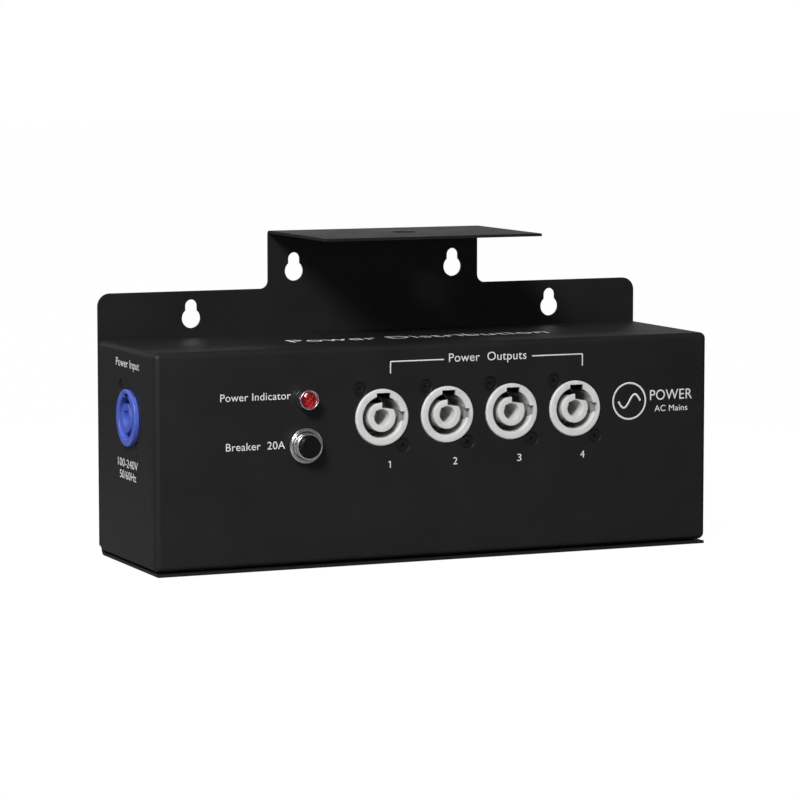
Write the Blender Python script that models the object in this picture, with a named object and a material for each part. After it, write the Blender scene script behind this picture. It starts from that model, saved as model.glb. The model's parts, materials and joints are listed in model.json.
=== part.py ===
"""Wall-hung power distribution box: one twist-lock inlet, a push-to-reset breaker,
an indicator lamp and four twist-lock outlets in a folded sheet-steel housing.

Frame: metres, +X along the front to the right, +Y towards the wall, +Z up.
The origin is the centre of the base plate's underside.
"""
from math import cos, pi, radians, sin

import bmesh
import bpy
from mathutils import Matrix, Vector

# ---------------------------------------------------------------- driving sizes
WIDTH = 0.255            # cover and back plate, side to side
DEPTH = 0.072            # cover's front face to the back plate's rear face
COVER_TOP = 0.0925       # top of the cover above the base plate's underside
WING_TOP = 0.112         # top of the back plate's two wings
SHELF_TOP = 0.1372       # top of the clamp shelf
SHELF_WIDTH = 0.0995
SHELF_LENGTH = 0.0675    # back plate's rear face to the shelf's front edge
SHEET = 0.0012           # sheet steel, bracket and cover
GAP = 0.0003             # left between pieces that touch
COVER_LIFT = 0.0005      # shadow gap between the base plate and the cover
BASE_INSET = 0.001       # base plate's side edges, in from the cover's sides
BASE_PROUD = 0.0005      # base plate's front edge, ahead of the cover
EDGE_RADIUS = 0.0027     # folded edges of the cover
REAR_LIP = 0.012         # cover's rear flange, turned in behind its top and sides

WING_CORNER = 0.0055
NOTCH_CORNER = 0.0035
BASE_BEND = 0.003        # outer radius of the fold between back plate and base
SHELF_BEND = 0.002
KEYHOLE_HEAD = 0.0043    # radius of the large hole
KEYHOLE_SLOT = 0.00275   # half width of the slot above it
KEYHOLE_RISE = 0.0053    # large hole's centre to the slot's end centre
KEYHOLES = ((0.0853, 0.1003), (0.0377, 0.1194))
CLAMP_HOLE = 0.0055
CLAMP_HOLE_Y = 0.002

SOCKET_PITCH = 0.030
OUTLET_COUNT = 4
OUTLET_X = -0.0265       # first outlet
OUTLET_Z = 0.062
INLET_Y = -0.0045
INLET_Z = 0.063
RING_OUTER = 0.0120
RING_INNER = 0.00885
CORE_OUTER = 0.0062
CORE_BORE = 0.0033
OUTLET_PROUD = 0.0008
INLET_PROUD = 0.0018
SOCKET_DEPTH = 0.026
GROOVE_DEPTH = 0.016
BORE_DEPTH = 0.013
FLANGE_SIZE = (0.026, 0.031)
FLANGE_THICK = 0.0022
SOCKET_SCREW_AT = (0.0098, 0.0122)
CONTACT_RADIUS = 0.0075
CONTACT_SIZE = (0.004, 0.0008)
CONTACT_SPAN = (-0.034, -0.0135)
KEYWAY = ((-0.0026, 0.0075), (0.0036, 0.0103))       # top slot in the ring, low and high corner
SIDE_KEYWAY = ((0.0080, -0.0011), (0.0104, 0.0022))
KEYWAY_DEPTH = 0.015
OUTLET_CORE_CUT = ((0, 0.00395), (0.0068, 0.0029), (0.0068, 0.0072), (0, 0.0072))
INLET_CORE_CUT = ((-0.0021, 0.0024), (0.0021, 0.0024), (0.0021, 0.0072), (-0.0021, 0.0072))

SCREW_HEAD = 0.0028
SCREW_SHANK = 0.0015
SCREW_CONE = 0.0013

CONTROL_X = -0.0615      # breaker and lamp share one column
BREAKER_Z = 0.0518
LAMP_Z = 0.0713
NECK_RADIUS = 0.0056
NECK_BORE = 0.00495
NECK_FRONT = 0.006
NECK_REAR = -0.005
NUT_RADIUS = 0.00745
NUT_FRONT = 0.0028
BUTTON_RADIUS = 0.0045
BUTTON_FRONT = 0.0078
BUTTON_COLLAR = 0.0053
COLLAR_SPAN = (-0.0113, -0.0098)
STEM_RADIUS = 0.002
STEM_END = -0.015
BREAKER_SIZE = (0.015, 0.026, 0.028)
TERMINAL_RISE = 0.0085   # breaker terminals above and below its axis
PLUNGER_FLOOR = -0.0168
LAMP_RADIUS = 0.0042
LAMP_FRONT = 0.0061
LAMP_RIM = 0.00375        # inside radius of the bezel's rim
LENS_SEAT = 0.0042
LAMP_STEM = 0.003
LAMP_BORE = 0.0023

WIRE_RADIUS = 0.0013
LEAD_RADIUS = 0.0006

HALF_W = WIDTH / 2
FRONT = -DEPTH / 2
REAR = DEPTH / 2
PLATE_FRONT = REAR - SHEET
COVER_BOTTOM = SHEET + COVER_LIFT
COVER_REAR = PLATE_FRONT - GAP
PANEL_BACK = -SHEET - GAP      # where pieces behind a panel start, in a panel's frame


# ---------------------------------------------------------------- helpers
def clear_scene():
    for obj in list(bpy.data.objects):
        bpy.data.objects.remove(obj, do_unlink=True)


def paint(name, colour, roughness, metallic):
    mat = bpy.data.materials.new(name)
    mat.use_nodes = True
    shader = mat.node_tree.nodes["Principled BSDF"]
    shader.inputs["Base Color"].default_value = (*colour, 1.0)
    shader.inputs["Roughness"].default_value = roughness
    shader.inputs["Metallic"].default_value = metallic
    return mat


def arc(centre, radius, start, end, steps):
    """Points on a round stretch, angles in degrees, both ends included."""
    turns = [radians(start + (end - start) * k / steps) for k in range(steps + 1)]
    return [(centre[0] + radius * cos(a), centre[1] + radius * sin(a)) for a in turns]


def add_turned(bm, profile, sides, place=Matrix.Identity(4), ring=False):
    """Revolve (radius, height) points about Z; ring joins the last point to the first."""
    loops = []
    for radius, height in profile:
        count = sides if radius > 0 else 1
        turns = [2 * pi * k / count for k in range(count)]
        loops.append([bm.verts.new(place @ Vector((radius * cos(a), radius * sin(a), height)))
                      for a in turns])
    pairs = list(zip(loops, loops[1:]))
    if ring:
        pairs.append((loops[-1], loops[0]))
    faces = []
    for upper, lower in pairs:
        for k in range(sides):
            n = (k + 1) % sides
            corners = [upper[k % len(upper)], lower[k % len(lower)],
                       lower[n % len(lower)], upper[n % len(upper)]]
            faces.append(bm.faces.new(list(dict.fromkeys(corners))))
    bmesh.ops.recalc_face_normals(bm, faces=faces)


def add_hex_nut(bm, across_flats, bore, low, high):
    """A plain nut: six flats outside, a round hole inside."""
    sides = 24
    rings_made = []
    for height in (high, low):
        outside, inside = [], []
        for k in range(sides):
            a = 2 * pi * k / sides
            reach = across_flats / 2 / cos((a % (pi / 3)) - pi / 6)
            outside.append(bm.verts.new((reach * cos(a), reach * sin(a), height)))
            inside.append(bm.verts.new((bore * cos(a), bore * sin(a), height)))
        rings_made += [outside, inside]
    top_out, top_in, low_out, low_in = rings_made
    faces = []
    for near, far in ((top_in, top_out), (top_out, low_out), (low_out, low_in), (low_in, top_in)):
        for k in range(sides):
            n = (k + 1) % sides
            faces.append(bm.faces.new([near[k], near[n], far[n], far[k]]))
    bmesh.ops.recalc_face_normals(bm, faces=faces)


def add_prism(bm, outline, low, high, place=Matrix.Identity(4)):
    """Extrude an XY outline from height low to height high."""
    floor = [bm.verts.new(place @ Vector((x, y, low))) for x, y in outline]
    roof = [bm.verts.new(place @ Vector((x, y, high))) for x, y in outline]
    faces = [bm.faces.new(floor), bm.faces.new(roof)]
    for k in range(len(outline)):
        n = (k + 1) % len(outline)
        faces.append(bm.faces.new([floor[k], floor[n], roof[n], roof[k]]))
    bmesh.ops.recalc_face_normals(bm, faces=faces)


def rectangle(width, height, centre=(0.0, 0.0)):
    x, y = width / 2, height / 2
    return [(centre[0] + i, centre[1] + j) for i, j in ((-x, -y), (x, -y), (x, y), (-x, y))]


def add_block(bm, low, high):
    outline = rectangle(high[0] - low[0], high[1] - low[1],
                        ((low[0] + high[0]) / 2, (low[1] + high[1]) / 2))
    add_prism(bm, outline, low[2], high[2])


def rounded_block(low, high, radius, keep_sharp_y=None):
    """A block with rounded edges; edges lying in the plane y = keep_sharp_y stay sharp."""
    bm = bmesh.new()
    add_block(bm, low, high)
    edges = [e for e in bm.edges
             if keep_sharp_y is None or any(abs(v.co.y - keep_sharp_y) > 1e-6 for v in e.verts)]
    bmesh.ops.bevel(bm, geom=edges, offset=radius, segments=3, profile=0.5, affect="EDGES")
    bmesh.ops.recalc_face_normals(bm, faces=bm.faces)
    return bm


def to_mesh(bm, name, smooth_angle=35):
    mesh = bpy.data.meshes.new(name)
    bm.to_mesh(mesh)
    bm.free()
    mesh.shade_smooth()
    mesh.set_sharp_from_angle(angle=radians(smooth_angle))
    return mesh


def add_object(name, mesh, mat=None, parent=None):
    obj = bpy.data.objects.new(name, mesh)
    bpy.context.scene.collection.objects.link(obj)
    if mat is not None:
        mesh.materials.clear()
        mesh.materials.append(mat)
    obj.parent = parent
    return obj


def cut(obj, bm, name, operation="DIFFERENCE"):
    """Cut obj with the solids in bm, kept as a hidden guide object."""
    guide = add_object(name, to_mesh(bm, name), parent=obj.parent)
    guide.hide_render = True
    guide.display_type = "WIRE"
    boolean = obj.modifiers.new(name, "BOOLEAN")
    boolean.operation = operation
    boolean.solver = "EXACT"
    boolean.object = guide
    return guide


def bake(obj, guides):
    """The mesh that obj's cuts give, for use on several objects."""
    depsgraph = bpy.context.evaluated_depsgraph_get()
    mesh = bpy.data.meshes.new_from_object(obj.evaluated_get(depsgraph))
    for spare in [obj] + guides:
        bpy.data.objects.remove(spare, do_unlink=True)
    return mesh


def anchor(name, position, turn):
    """An empty whose +Z points out of a panel and whose origin is on the panel's face."""
    empty = bpy.data.objects.new(name, None)
    bpy.context.scene.collection.objects.link(empty)
    empty.location = position
    empty.rotation_euler = [radians(a) for a in turn]
    return empty


FACING_FRONT = (90, 0, 0)
FACING_LEFT = (90, 0, -90)
FACING_WALL = (-90, 0, 0)
FACING_DOWN = (180, 0, 0)


def panel_matrix(position, turn):
    rotation = Matrix.Rotation(radians(turn[2]), 4, "Z") @ Matrix.Rotation(radians(turn[0]), 4, "X")
    return Matrix.Translation(position) @ rotation


def socket_places():
    """Name, position on the panel, turn and how far the ring stands out, per socket."""
    places = [("inlet", (-HALF_W, INLET_Y, INLET_Z), FACING_LEFT, INLET_PROUD)]
    for k in range(OUTLET_COUNT):
        spot = (OUTLET_X + k * SOCKET_PITCH, FRONT, OUTLET_Z)
        places.append((f"outlet_{k + 1}", spot, FACING_FRONT, OUTLET_PROUD))
    return places


def cover_screw_places():
    """Name, position of the flush head's centre and turn, per cover screw."""
    places = []
    for side, x in (("left", -0.105), ("right", 0.105)):
        for end, y in (("front", -0.026), ("rear", 0.022)):
            places.append((f"base_screw_{side}_{end}", (x, y, 0.0), FACING_DOWN))
        places.append((f"back_screw_{side}", (x, REAR, 0.0855), FACING_WALL))
    return places


# ---------------------------------------------------------------- bracket
def keyhole_outline():
    lower = arc((0, 0), KEYHOLE_HEAD, 180 - 50, 360 + 50, 20)
    slot = arc((0, KEYHOLE_RISE), KEYHOLE_SLOT, 0, 180, 10)
    return lower + slot


def make_bracket(mat):
    """Shelf, back plate and base plate folded from one sheet, a C seen from the side."""
    bend_at = (REAR - BASE_BEND, BASE_BEND)
    shelf_at = (REAR - SHELF_BEND, SHELF_TOP - SHELF_BEND)
    base_front, shelf_front = FRONT - BASE_PROUD, REAR - SHELF_LENGTH
    section = [(base_front, 0.0)] + arc(bend_at, BASE_BEND, -90, 0, 4)
    section += arc(shelf_at, SHELF_BEND, 0, 90, 4)
    section += [(shelf_front, SHELF_TOP), (shelf_front, SHELF_TOP - SHEET)]
    section += arc(shelf_at, SHELF_BEND - SHEET, 90, 0, 3)
    section += arc(bend_at, BASE_BEND - SHEET, 0, -90, 4)
    section += [(base_front, SHEET)]
    bm = bmesh.new()
    across = Matrix(((0, 0, 1, 0), (1, 0, 0, 0), (0, 1, 0, 0), (0, 0, 0, 1)))
    add_prism(bm, section, -HALF_W - 0.002, HALF_W + 0.002, across)
    bracket = add_object("mounting_bracket", to_mesh(bm, "mounting_bracket"), mat)

    half_shelf, inset = SHELF_WIDTH / 2, HALF_W - BASE_INSET
    right = [(inset, -0.002), (inset, BASE_BEND + 0.001), (HALF_W, BASE_BEND + 0.001)]
    right += arc((HALF_W - WING_CORNER, WING_TOP - WING_CORNER), WING_CORNER, 0, 90, 5)
    right += arc((half_shelf + NOTCH_CORNER, WING_TOP + NOTCH_CORNER), NOTCH_CORNER, 270, 180, 4)
    right += [(half_shelf, SHELF_TOP + 0.002)]
    blank = right + [(-x, z) for x, z in reversed(right)]
    bm = bmesh.new()
    facing = Matrix(((1, 0, 0, 0), (0, 0, -1, 0), (0, 1, 0, 0), (0, 0, 0, 1)))
    add_prism(bm, blank, -0.06, 0.06, facing)
    cut(bracket, bm, "bracket_blank", "INTERSECT")

    bm = bmesh.new()
    for side in (-1, 1):
        for x, z in KEYHOLES:
            place = Matrix.Translation((side * x, PLATE_FRONT, z)) @ facing
            add_prism(bm, keyhole_outline(), -0.004, 0.002, place)
    spot = Matrix.Translation((0, CLAMP_HOLE_Y, SHELF_TOP))
    add_turned(bm, [(0, 0.002), (CLAMP_HOLE, 0.002), (CLAMP_HOLE, -0.004), (0, -0.004)], 24, spot)
    for _name, position, turn in cover_screw_places():
        add_turned(bm, screw_hole_profile(), 12, panel_matrix(position, turn))
    cut(bracket, bm, "bracket_holes")
    return bracket


# ---------------------------------------------------------------- cover
def screw_hole_profile():
    """A countersunk hole through one sheet, a gap wider than the screw."""
    head, shank = SCREW_HEAD + GAP, SCREW_SHANK + GAP
    return [(0, 0.001), (head, 0.001), (head, -0.0002), (shank, -SCREW_CONE - 0.0001),
            (shank, -0.0042), (0, -0.0042)]


def make_cover(mat):
    """Front, top, sides and floor, with a lip turned in at the rear."""
    low = (-HALF_W, FRONT, COVER_BOTTOM)
    high = (HALF_W, COVER_REAR, COVER_TOP)
    bm = rounded_block(low, high, EDGE_RADIUS, keep_sharp_y=COVER_REAR)
    cover = add_object("front_cover", to_mesh(bm, "front_cover"), mat)
    inner_low = [v + SHEET for v in low]
    inner_high = [v - SHEET for v in high]
    bm = rounded_block(inner_low, inner_high, EDGE_RADIUS - SHEET, keep_sharp_y=inner_high[1])
    cut(cover, bm, "cover_hollow")
    bm = bmesh.new()
    mouth_x, mouth_top = HALF_W - REAR_LIP, COVER_TOP - REAR_LIP
    add_block(bm, (-mouth_x, COVER_REAR - 0.004, COVER_BOTTOM + SHEET + 0.0015),
              (mouth_x, COVER_REAR + 0.004, mouth_top))
    cut(cover, bm, "cover_mouth")
    bm = bmesh.new()
    add_block(bm, (-WIDTH, REAR - BASE_BEND - GAP, 0), (WIDTH, REAR, BASE_BEND + GAP))
    cut(cover, bm, "cover_bend_relief")

    bm = bmesh.new()
    for _name, position, turn, _proud in socket_places():
        place = panel_matrix(position, turn)
        hole = RING_OUTER + GAP
        add_turned(bm, [(0, 0.002), (hole, 0.002), (hole, -0.004), (0, -0.004)], 28, place)
    for z, hole, sides in ((BREAKER_Z, NECK_RADIUS + GAP, 20), (LAMP_Z, LAMP_STEM + GAP, 16)):
        place = panel_matrix((CONTROL_X, FRONT, z), FACING_FRONT)
        add_turned(bm, [(0, 0.002), (hole, 0.002), (hole, -0.004), (0, -0.004)], sides, place)
    for _name, position, turn in cover_screw_places():
        hole = SCREW_SHANK + GAP
        place = panel_matrix(position, turn)
        add_turned(bm, [(0, -0.0012), (hole, -0.0012), (hole, -0.0052), (0, -0.0052)], 12, place)
    cut(cover, bm, "cover_holes")

    bm = bmesh.new()
    for _name, position, turn, _proud in socket_places():
        for side in (-1, 1):
            spot = Matrix.Translation((-side * SOCKET_SCREW_AT[0], side * SOCKET_SCREW_AT[1], 0))
            add_turned(bm, screw_hole_profile(), 12, panel_matrix(position, turn) @ spot)
    cut(cover, bm, "cover_screw_holes")
    return cover


# ---------------------------------------------------------------- sockets
def contact_spots():
    """Line at the top, neutral at the left, earth at the bottom: name, place, turn."""
    for name, angle in (("line", 90), ("neutral", 180), ("earth", 270)):
        a = radians(angle)
        spot = Matrix.Translation((CONTACT_RADIUS * cos(a), CONTACT_RADIUS * sin(a), 0))
        yield name, spot @ Matrix.Rotation(a + pi / 2, 4, "Z")


def make_housing_mesh(name, proud, core_cut, mat):
    """Ring, twist-lock core, D-shaped flange behind the panel and the body behind it."""
    face = proud - 0.0004
    profile = [(0, -BORE_DEPTH), (CORE_BORE, -BORE_DEPTH), (CORE_BORE, face), (CORE_OUTER, face),
               (CORE_OUTER, -GROOVE_DEPTH), (RING_INNER, -GROOVE_DEPTH), (RING_INNER, proud),
               (RING_OUTER - 0.0004, proud), (RING_OUTER, proud - 0.0004),
               (RING_OUTER, PANEL_BACK - 0.001), (RING_OUTER - GAP, PANEL_BACK - 0.001),
               (RING_OUTER - GAP, -SOCKET_DEPTH), (0, -SOCKET_DEPTH)]
    bm = bmesh.new()
    add_turned(bm, profile, 28)
    body = add_object(name, to_mesh(bm, name), mat)

    bm = bmesh.new()
    add_prism(bm, rectangle(*FLANGE_SIZE), PANEL_BACK - FLANGE_THICK, PANEL_BACK)
    upright = [e for e in bm.edges if abs(e.verts[0].co.z - e.verts[1].co.z) > 1e-6]
    bmesh.ops.bevel(bm, geom=upright, offset=0.002, segments=3, profile=0.5, affect="EDGES")
    hole = RING_OUTER - 0.001
    disc = [(0, 0.004), (hole, 0.004), (hole, -0.008), (0, -0.008)]
    flange = add_object(name + "_flange", to_mesh(bm, name + "_flange"))
    bm = bmesh.new()
    add_turned(bm, disc, 28)
    middle = cut(flange, bm, name + "_middle")
    flange_mesh = bake(flange, [middle])
    bm = bmesh.new()
    bm.from_mesh(flange_mesh)
    guides = [cut(body, bm, name + "_union", "UNION")]

    bm = bmesh.new()
    for side in (-1, 1):
        spot = Matrix.Translation((-side * SOCKET_SCREW_AT[0], side * SOCKET_SCREW_AT[1], 0))
        hole = SCREW_SHANK + GAP
        add_turned(bm, [(0, 0), (hole, 0), (hole, -0.006), (0, -0.006)], 12, spot)
    for low, high in (KEYWAY, SIDE_KEYWAY):
        add_block(bm, (*low, -KEYWAY_DEPTH), (*high, 0.004))
    add_prism(bm, core_cut, -KEYWAY_DEPTH, 0.004)
    for _name, place in contact_spots():
        slot = rectangle(CONTACT_SIZE[0] + 2 * GAP, CONTACT_SIZE[1] + 2 * GAP)
        add_prism(bm, slot, -SOCKET_DEPTH - 0.002, -GROOVE_DEPTH + 0.0006, place)
    guides.append(cut(body, bm, name + "_cuts"))
    return bake(body, guides)


def make_contact_mesh(name, mat):
    """A flat blade that passes through the housing's rear wall."""
    bm = bmesh.new()
    add_prism(bm, rectangle(*CONTACT_SIZE), *CONTACT_SPAN)
    tips = [e for e in bm.edges
            if abs(e.verts[0].co.z - e.verts[1].co.z) < 1e-6
            and abs(e.verts[0].co.y - e.verts[1].co.y) > 1e-6]
    bmesh.ops.bevel(bm, geom=tips, offset=0.0006, segments=1, affect="EDGES")
    return to_mesh(bm, name)


def make_screw_mesh(name, length):
    """A countersunk screw, its head's face just under the panel's face."""
    top = -0.0002
    profile = [(0, top), (SCREW_HEAD - 0.0002, top), (SCREW_HEAD, top - 0.0002),
               (SCREW_SHANK, -SCREW_CONE - 0.0003), (SCREW_SHANK, -length), (0, -length)]
    bm = bmesh.new()
    add_turned(bm, profile, 12)
    return to_mesh(bm, name)


def make_sockets(mats):
    grey = make_housing_mesh("outlet_shape", OUTLET_PROUD, OUTLET_CORE_CUT, mats["outlet_plastic"])
    blue = make_housing_mesh("inlet_shape", INLET_PROUD, INLET_CORE_CUT, mats["inlet_plastic"])
    blade = make_contact_mesh("contact_blade", mats["brass"])
    screw = make_screw_mesh("socket_screw", 0.008)
    for name, position, turn, _proud in socket_places():
        place = anchor(name + "_anchor", position, turn)
        is_inlet = name == "inlet"
        shape, mat = (blue, "inlet_plastic") if is_inlet else (grey, "outlet_plastic")
        add_object(name + "_housing", shape, mats[mat], place)
        for role, spot in contact_spots():
            contact = add_object(f"{name}_{role}_contact", blade, mats["brass"], place)
            contact.matrix_local = spot
        for corner, side in (("upper", 1), ("lower", -1)):
            item = add_object(f"{name}_screw_{corner}", screw, mats["black_steel"], place)
            item.location = (-side * SOCKET_SCREW_AT[0], side * SOCKET_SCREW_AT[1], 0)


# ---------------------------------------------------------------- breaker
def make_spring_mesh(name, low, high):
    """A short helical spring with flat ends that follow the coil."""
    turns, per_turn, sides, mean, wire = 3.25, 12, 6, 0.0034, 0.00035
    count = int(turns * per_turn)
    bm = bmesh.new()
    rise = high - low - 2 * wire
    rings = []
    for k in range(count + 1):
        a = 2 * pi * k / per_turn
        along = k / count
        out = Vector((cos(a), sin(a), 0))
        centre = out * mean + Vector((0, 0, low + wire + rise * along))
        rings.append([bm.verts.new(centre + wire * (out * cos(b) + Vector((0, 0, 1)) * sin(b)))
                      for b in (2 * pi * j / sides for j in range(sides))])
    for near, far in zip(rings, rings[1:]):
        for j in range(sides):
            n = (j + 1) % sides
            bm.faces.new([near[j], near[n], far[n], far[j]])
    bm.faces.new(rings[0])
    bm.faces.new(rings[-1])
    bmesh.ops.recalc_face_normals(bm, faces=bm.faces)
    return to_mesh(bm, name)


def make_breaker(mats):
    place = anchor("breaker_anchor", (CONTROL_X, FRONT, BREAKER_Z), FACING_FRONT)
    wide, tall, deep = BREAKER_SIZE
    rear = PANEL_BACK - deep
    bm = rounded_block((-wide / 2, -tall / 2, rear), (wide / 2, tall / 2, PANEL_BACK), 0.001)
    body = add_object("breaker_body", to_mesh(bm, "breaker_body"), mats["black_plastic"], place)
    bm = bmesh.new()
    bore = NECK_RADIUS + GAP
    add_turned(bm, [(0, 0.001), (bore, 0.001), (bore, PLUNGER_FLOOR), (0, PLUNGER_FLOOR)], 20)
    blade_x, blade_y, pocket = 0.0064, 0.0008, rear + 0.004
    for side in (-1, 1):
        slot = rectangle(blade_x + 2 * GAP, blade_y + 2 * GAP, (0, side * TERMINAL_RISE))
        add_prism(bm, slot, rear - 0.001, pocket + GAP)
    cut(body, bm, "breaker_pockets")
    for role, side in (("line", 1), ("load", -1)):
        bm = bmesh.new()
        add_prism(bm, rectangle(blade_x, blade_y, (0, side * TERMINAL_RISE)), rear - 0.0075, pocket)
        name = f"breaker_{role}_terminal"
        add_object(name, to_mesh(bm, name), mats["brass"], place)

    bm = bmesh.new()
    edge = 0.0004
    add_turned(bm, [(NECK_BORE, NECK_FRONT), (NECK_RADIUS - edge, NECK_FRONT),
                    (NECK_RADIUS, NECK_FRONT - edge), (NECK_RADIUS, NECK_REAR),
                    (NECK_BORE, NECK_REAR)], 28, ring=True)
    add_object("breaker_neck", to_mesh(bm, "breaker_neck"), mats["chrome"], place)
    bm = bmesh.new()
    inside = NECK_RADIUS + GAP
    add_turned(bm, [(inside, NUT_FRONT), (NUT_RADIUS - edge, NUT_FRONT),
                    (NUT_RADIUS, NUT_FRONT - edge), (NUT_RADIUS, GAP), (inside, GAP)],
               28, ring=True)
    add_object("breaker_nut", to_mesh(bm, "breaker_nut"), mats["chrome"], place)
    bm = bmesh.new()
    low, high = COLLAR_SPAN
    add_turned(bm, [(0, BUTTON_FRONT), (BUTTON_RADIUS - 0.0006, BUTTON_FRONT),
                    (BUTTON_RADIUS, BUTTON_FRONT - 0.0006), (BUTTON_RADIUS, high),
                    (BUTTON_COLLAR, high), (BUTTON_COLLAR, low), (STEM_RADIUS, low),
                    (STEM_RADIUS, STEM_END), (0, STEM_END)], 28)
    add_object("breaker_button", to_mesh(bm, "breaker_button"), mats["button_plastic"], place)
    spring = make_spring_mesh("breaker_spring", PLUNGER_FLOOR + GAP, low - GAP)
    add_object("breaker_spring", spring, mats["spring_steel"], place)


# ---------------------------------------------------------------- lamp
def make_lamp(mats):
    place = anchor("lamp_anchor", (CONTROL_X, FRONT, LAMP_Z), FACING_FRONT)
    rim, seat, stem, bore = LAMP_RIM, LENS_SEAT, LAMP_STEM, LAMP_BORE
    edge = 0.0003
    bm = bmesh.new()
    add_turned(bm, [(rim, LAMP_FRONT), (LAMP_RADIUS - edge, LAMP_FRONT),
                    (LAMP_RADIUS, LAMP_FRONT - edge), (LAMP_RADIUS, GAP), (stem, GAP),
                    (stem, -0.012), (bore, -0.012), (bore, seat), (rim, seat)], 24, ring=True)
    add_object("lamp_bezel", to_mesh(bm, "lamp_bezel"), mats["chrome"], place)
    bm = bmesh.new()
    lens = rim - GAP
    crown = arc((0, seat - 0.0085), 0.0104, 90, 90 - 18, 3)
    add_turned(bm, [(0, crown[0][1])] + crown[1:] + [(lens, seat + 0.001), (lens, seat + GAP),
               (0, seat + GAP)], 20)
    add_object("lamp_lens", to_mesh(bm, "lamp_lens"), mats["lamp_red"], place)
    bm = bmesh.new()
    barrel = bore - GAP
    add_turned(bm, [(0, seat - 0.0004), (barrel, seat - 0.0004), (barrel, -0.018), (0, -0.018)], 14)
    add_object("lamp_body", to_mesh(bm, "lamp_body"), mats["black_plastic"], place)
    bm = bmesh.new()
    top, low = PANEL_BACK, PANEL_BACK - 0.0025
    add_hex_nut(bm, 0.010, stem + GAP, low, top)
    add_object("lamp_nut", to_mesh(bm, "lamp_nut"), mats["zinc"], place)


# ---------------------------------------------------------------- fasteners and wiring
def make_fasteners(mats):
    screw = make_screw_mesh("cover_screw", 0.0085)
    for name, position, turn in cover_screw_places():
        obj = add_object(name, screw, mats["black_steel"])
        obj.location = position
        obj.rotation_euler = [radians(a) for a in turn]
    floor = COVER_BOTTOM + SHEET + GAP
    spot = (-0.088, 0.020, floor)
    bm = bmesh.new()
    add_turned(bm, [(0, 0.013), (0.002, 0.013), (0.002, 0.0012), (0.0035, 0.0012),
                    (0.0035, 0), (0, 0)], 14)
    stud = add_object("earth_stud", to_mesh(bm, "earth_stud"), mats["zinc"])
    stud.location = spot
    bm = bmesh.new()
    add_hex_nut(bm, 0.007, 0.002 + GAP, 0.0028, 0.0060)
    nut = add_object("earth_nut", to_mesh(bm, "earth_nut"), mats["zinc"])
    nut.location = spot


def smooth_route(points, steps):
    """Catmull-Rom curve through the route's points."""
    spots = [Vector(p) for p in points]
    ends = [2 * spots[0] - spots[1]] + spots + [2 * spots[-1] - spots[-2]]
    route = []
    for a, b, c, d in zip(ends, ends[1:], ends[2:], ends[3:]):
        for k in range(steps):
            t = k / steps
            route.append(0.5 * (2 * b + (c - a) * t + (2 * a - 5 * b + 4 * c - d) * t ** 2
                                + (3 * b - a - 3 * c + d) * t ** 3))
    return route + [spots[-1]]


def add_wire(name, points, radius, mat, steps=3):
    curve = bpy.data.curves.new(name, "CURVE")
    curve.dimensions = "3D"
    curve.bevel_depth = radius
    curve.bevel_resolution = 1
    curve.use_fill_caps = True
    route = smooth_route(points, steps)
    spline = curve.splines.new("POLY")
    spline.points.add(len(route) - 1)
    for point, spot in zip(spline.points, route):
        point.co = (*spot, 1.0)
    curve.materials.append(mat)
    return add_object(name, curve)


def bus_points(height, offset, first):
    """A wire that touches the same blade of each outlet and bows back between them."""
    back = FRONT - CONTACT_SPAN[0] + GAP + WIRE_RADIUS
    points = []
    for k in range(first, OUTLET_COUNT):
        x = OUTLET_X + offset + k * SOCKET_PITCH
        points.append((x, back, height))
        if k < OUTLET_COUNT - 1:
            points.append((x + SOCKET_PITCH / 2, back + 0.004, height - 0.001))
    x = OUTLET_X + offset + (OUTLET_COUNT - 1) * SOCKET_PITCH
    points.append((x + 0.004, back + 0.0004, height))
    return points


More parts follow.
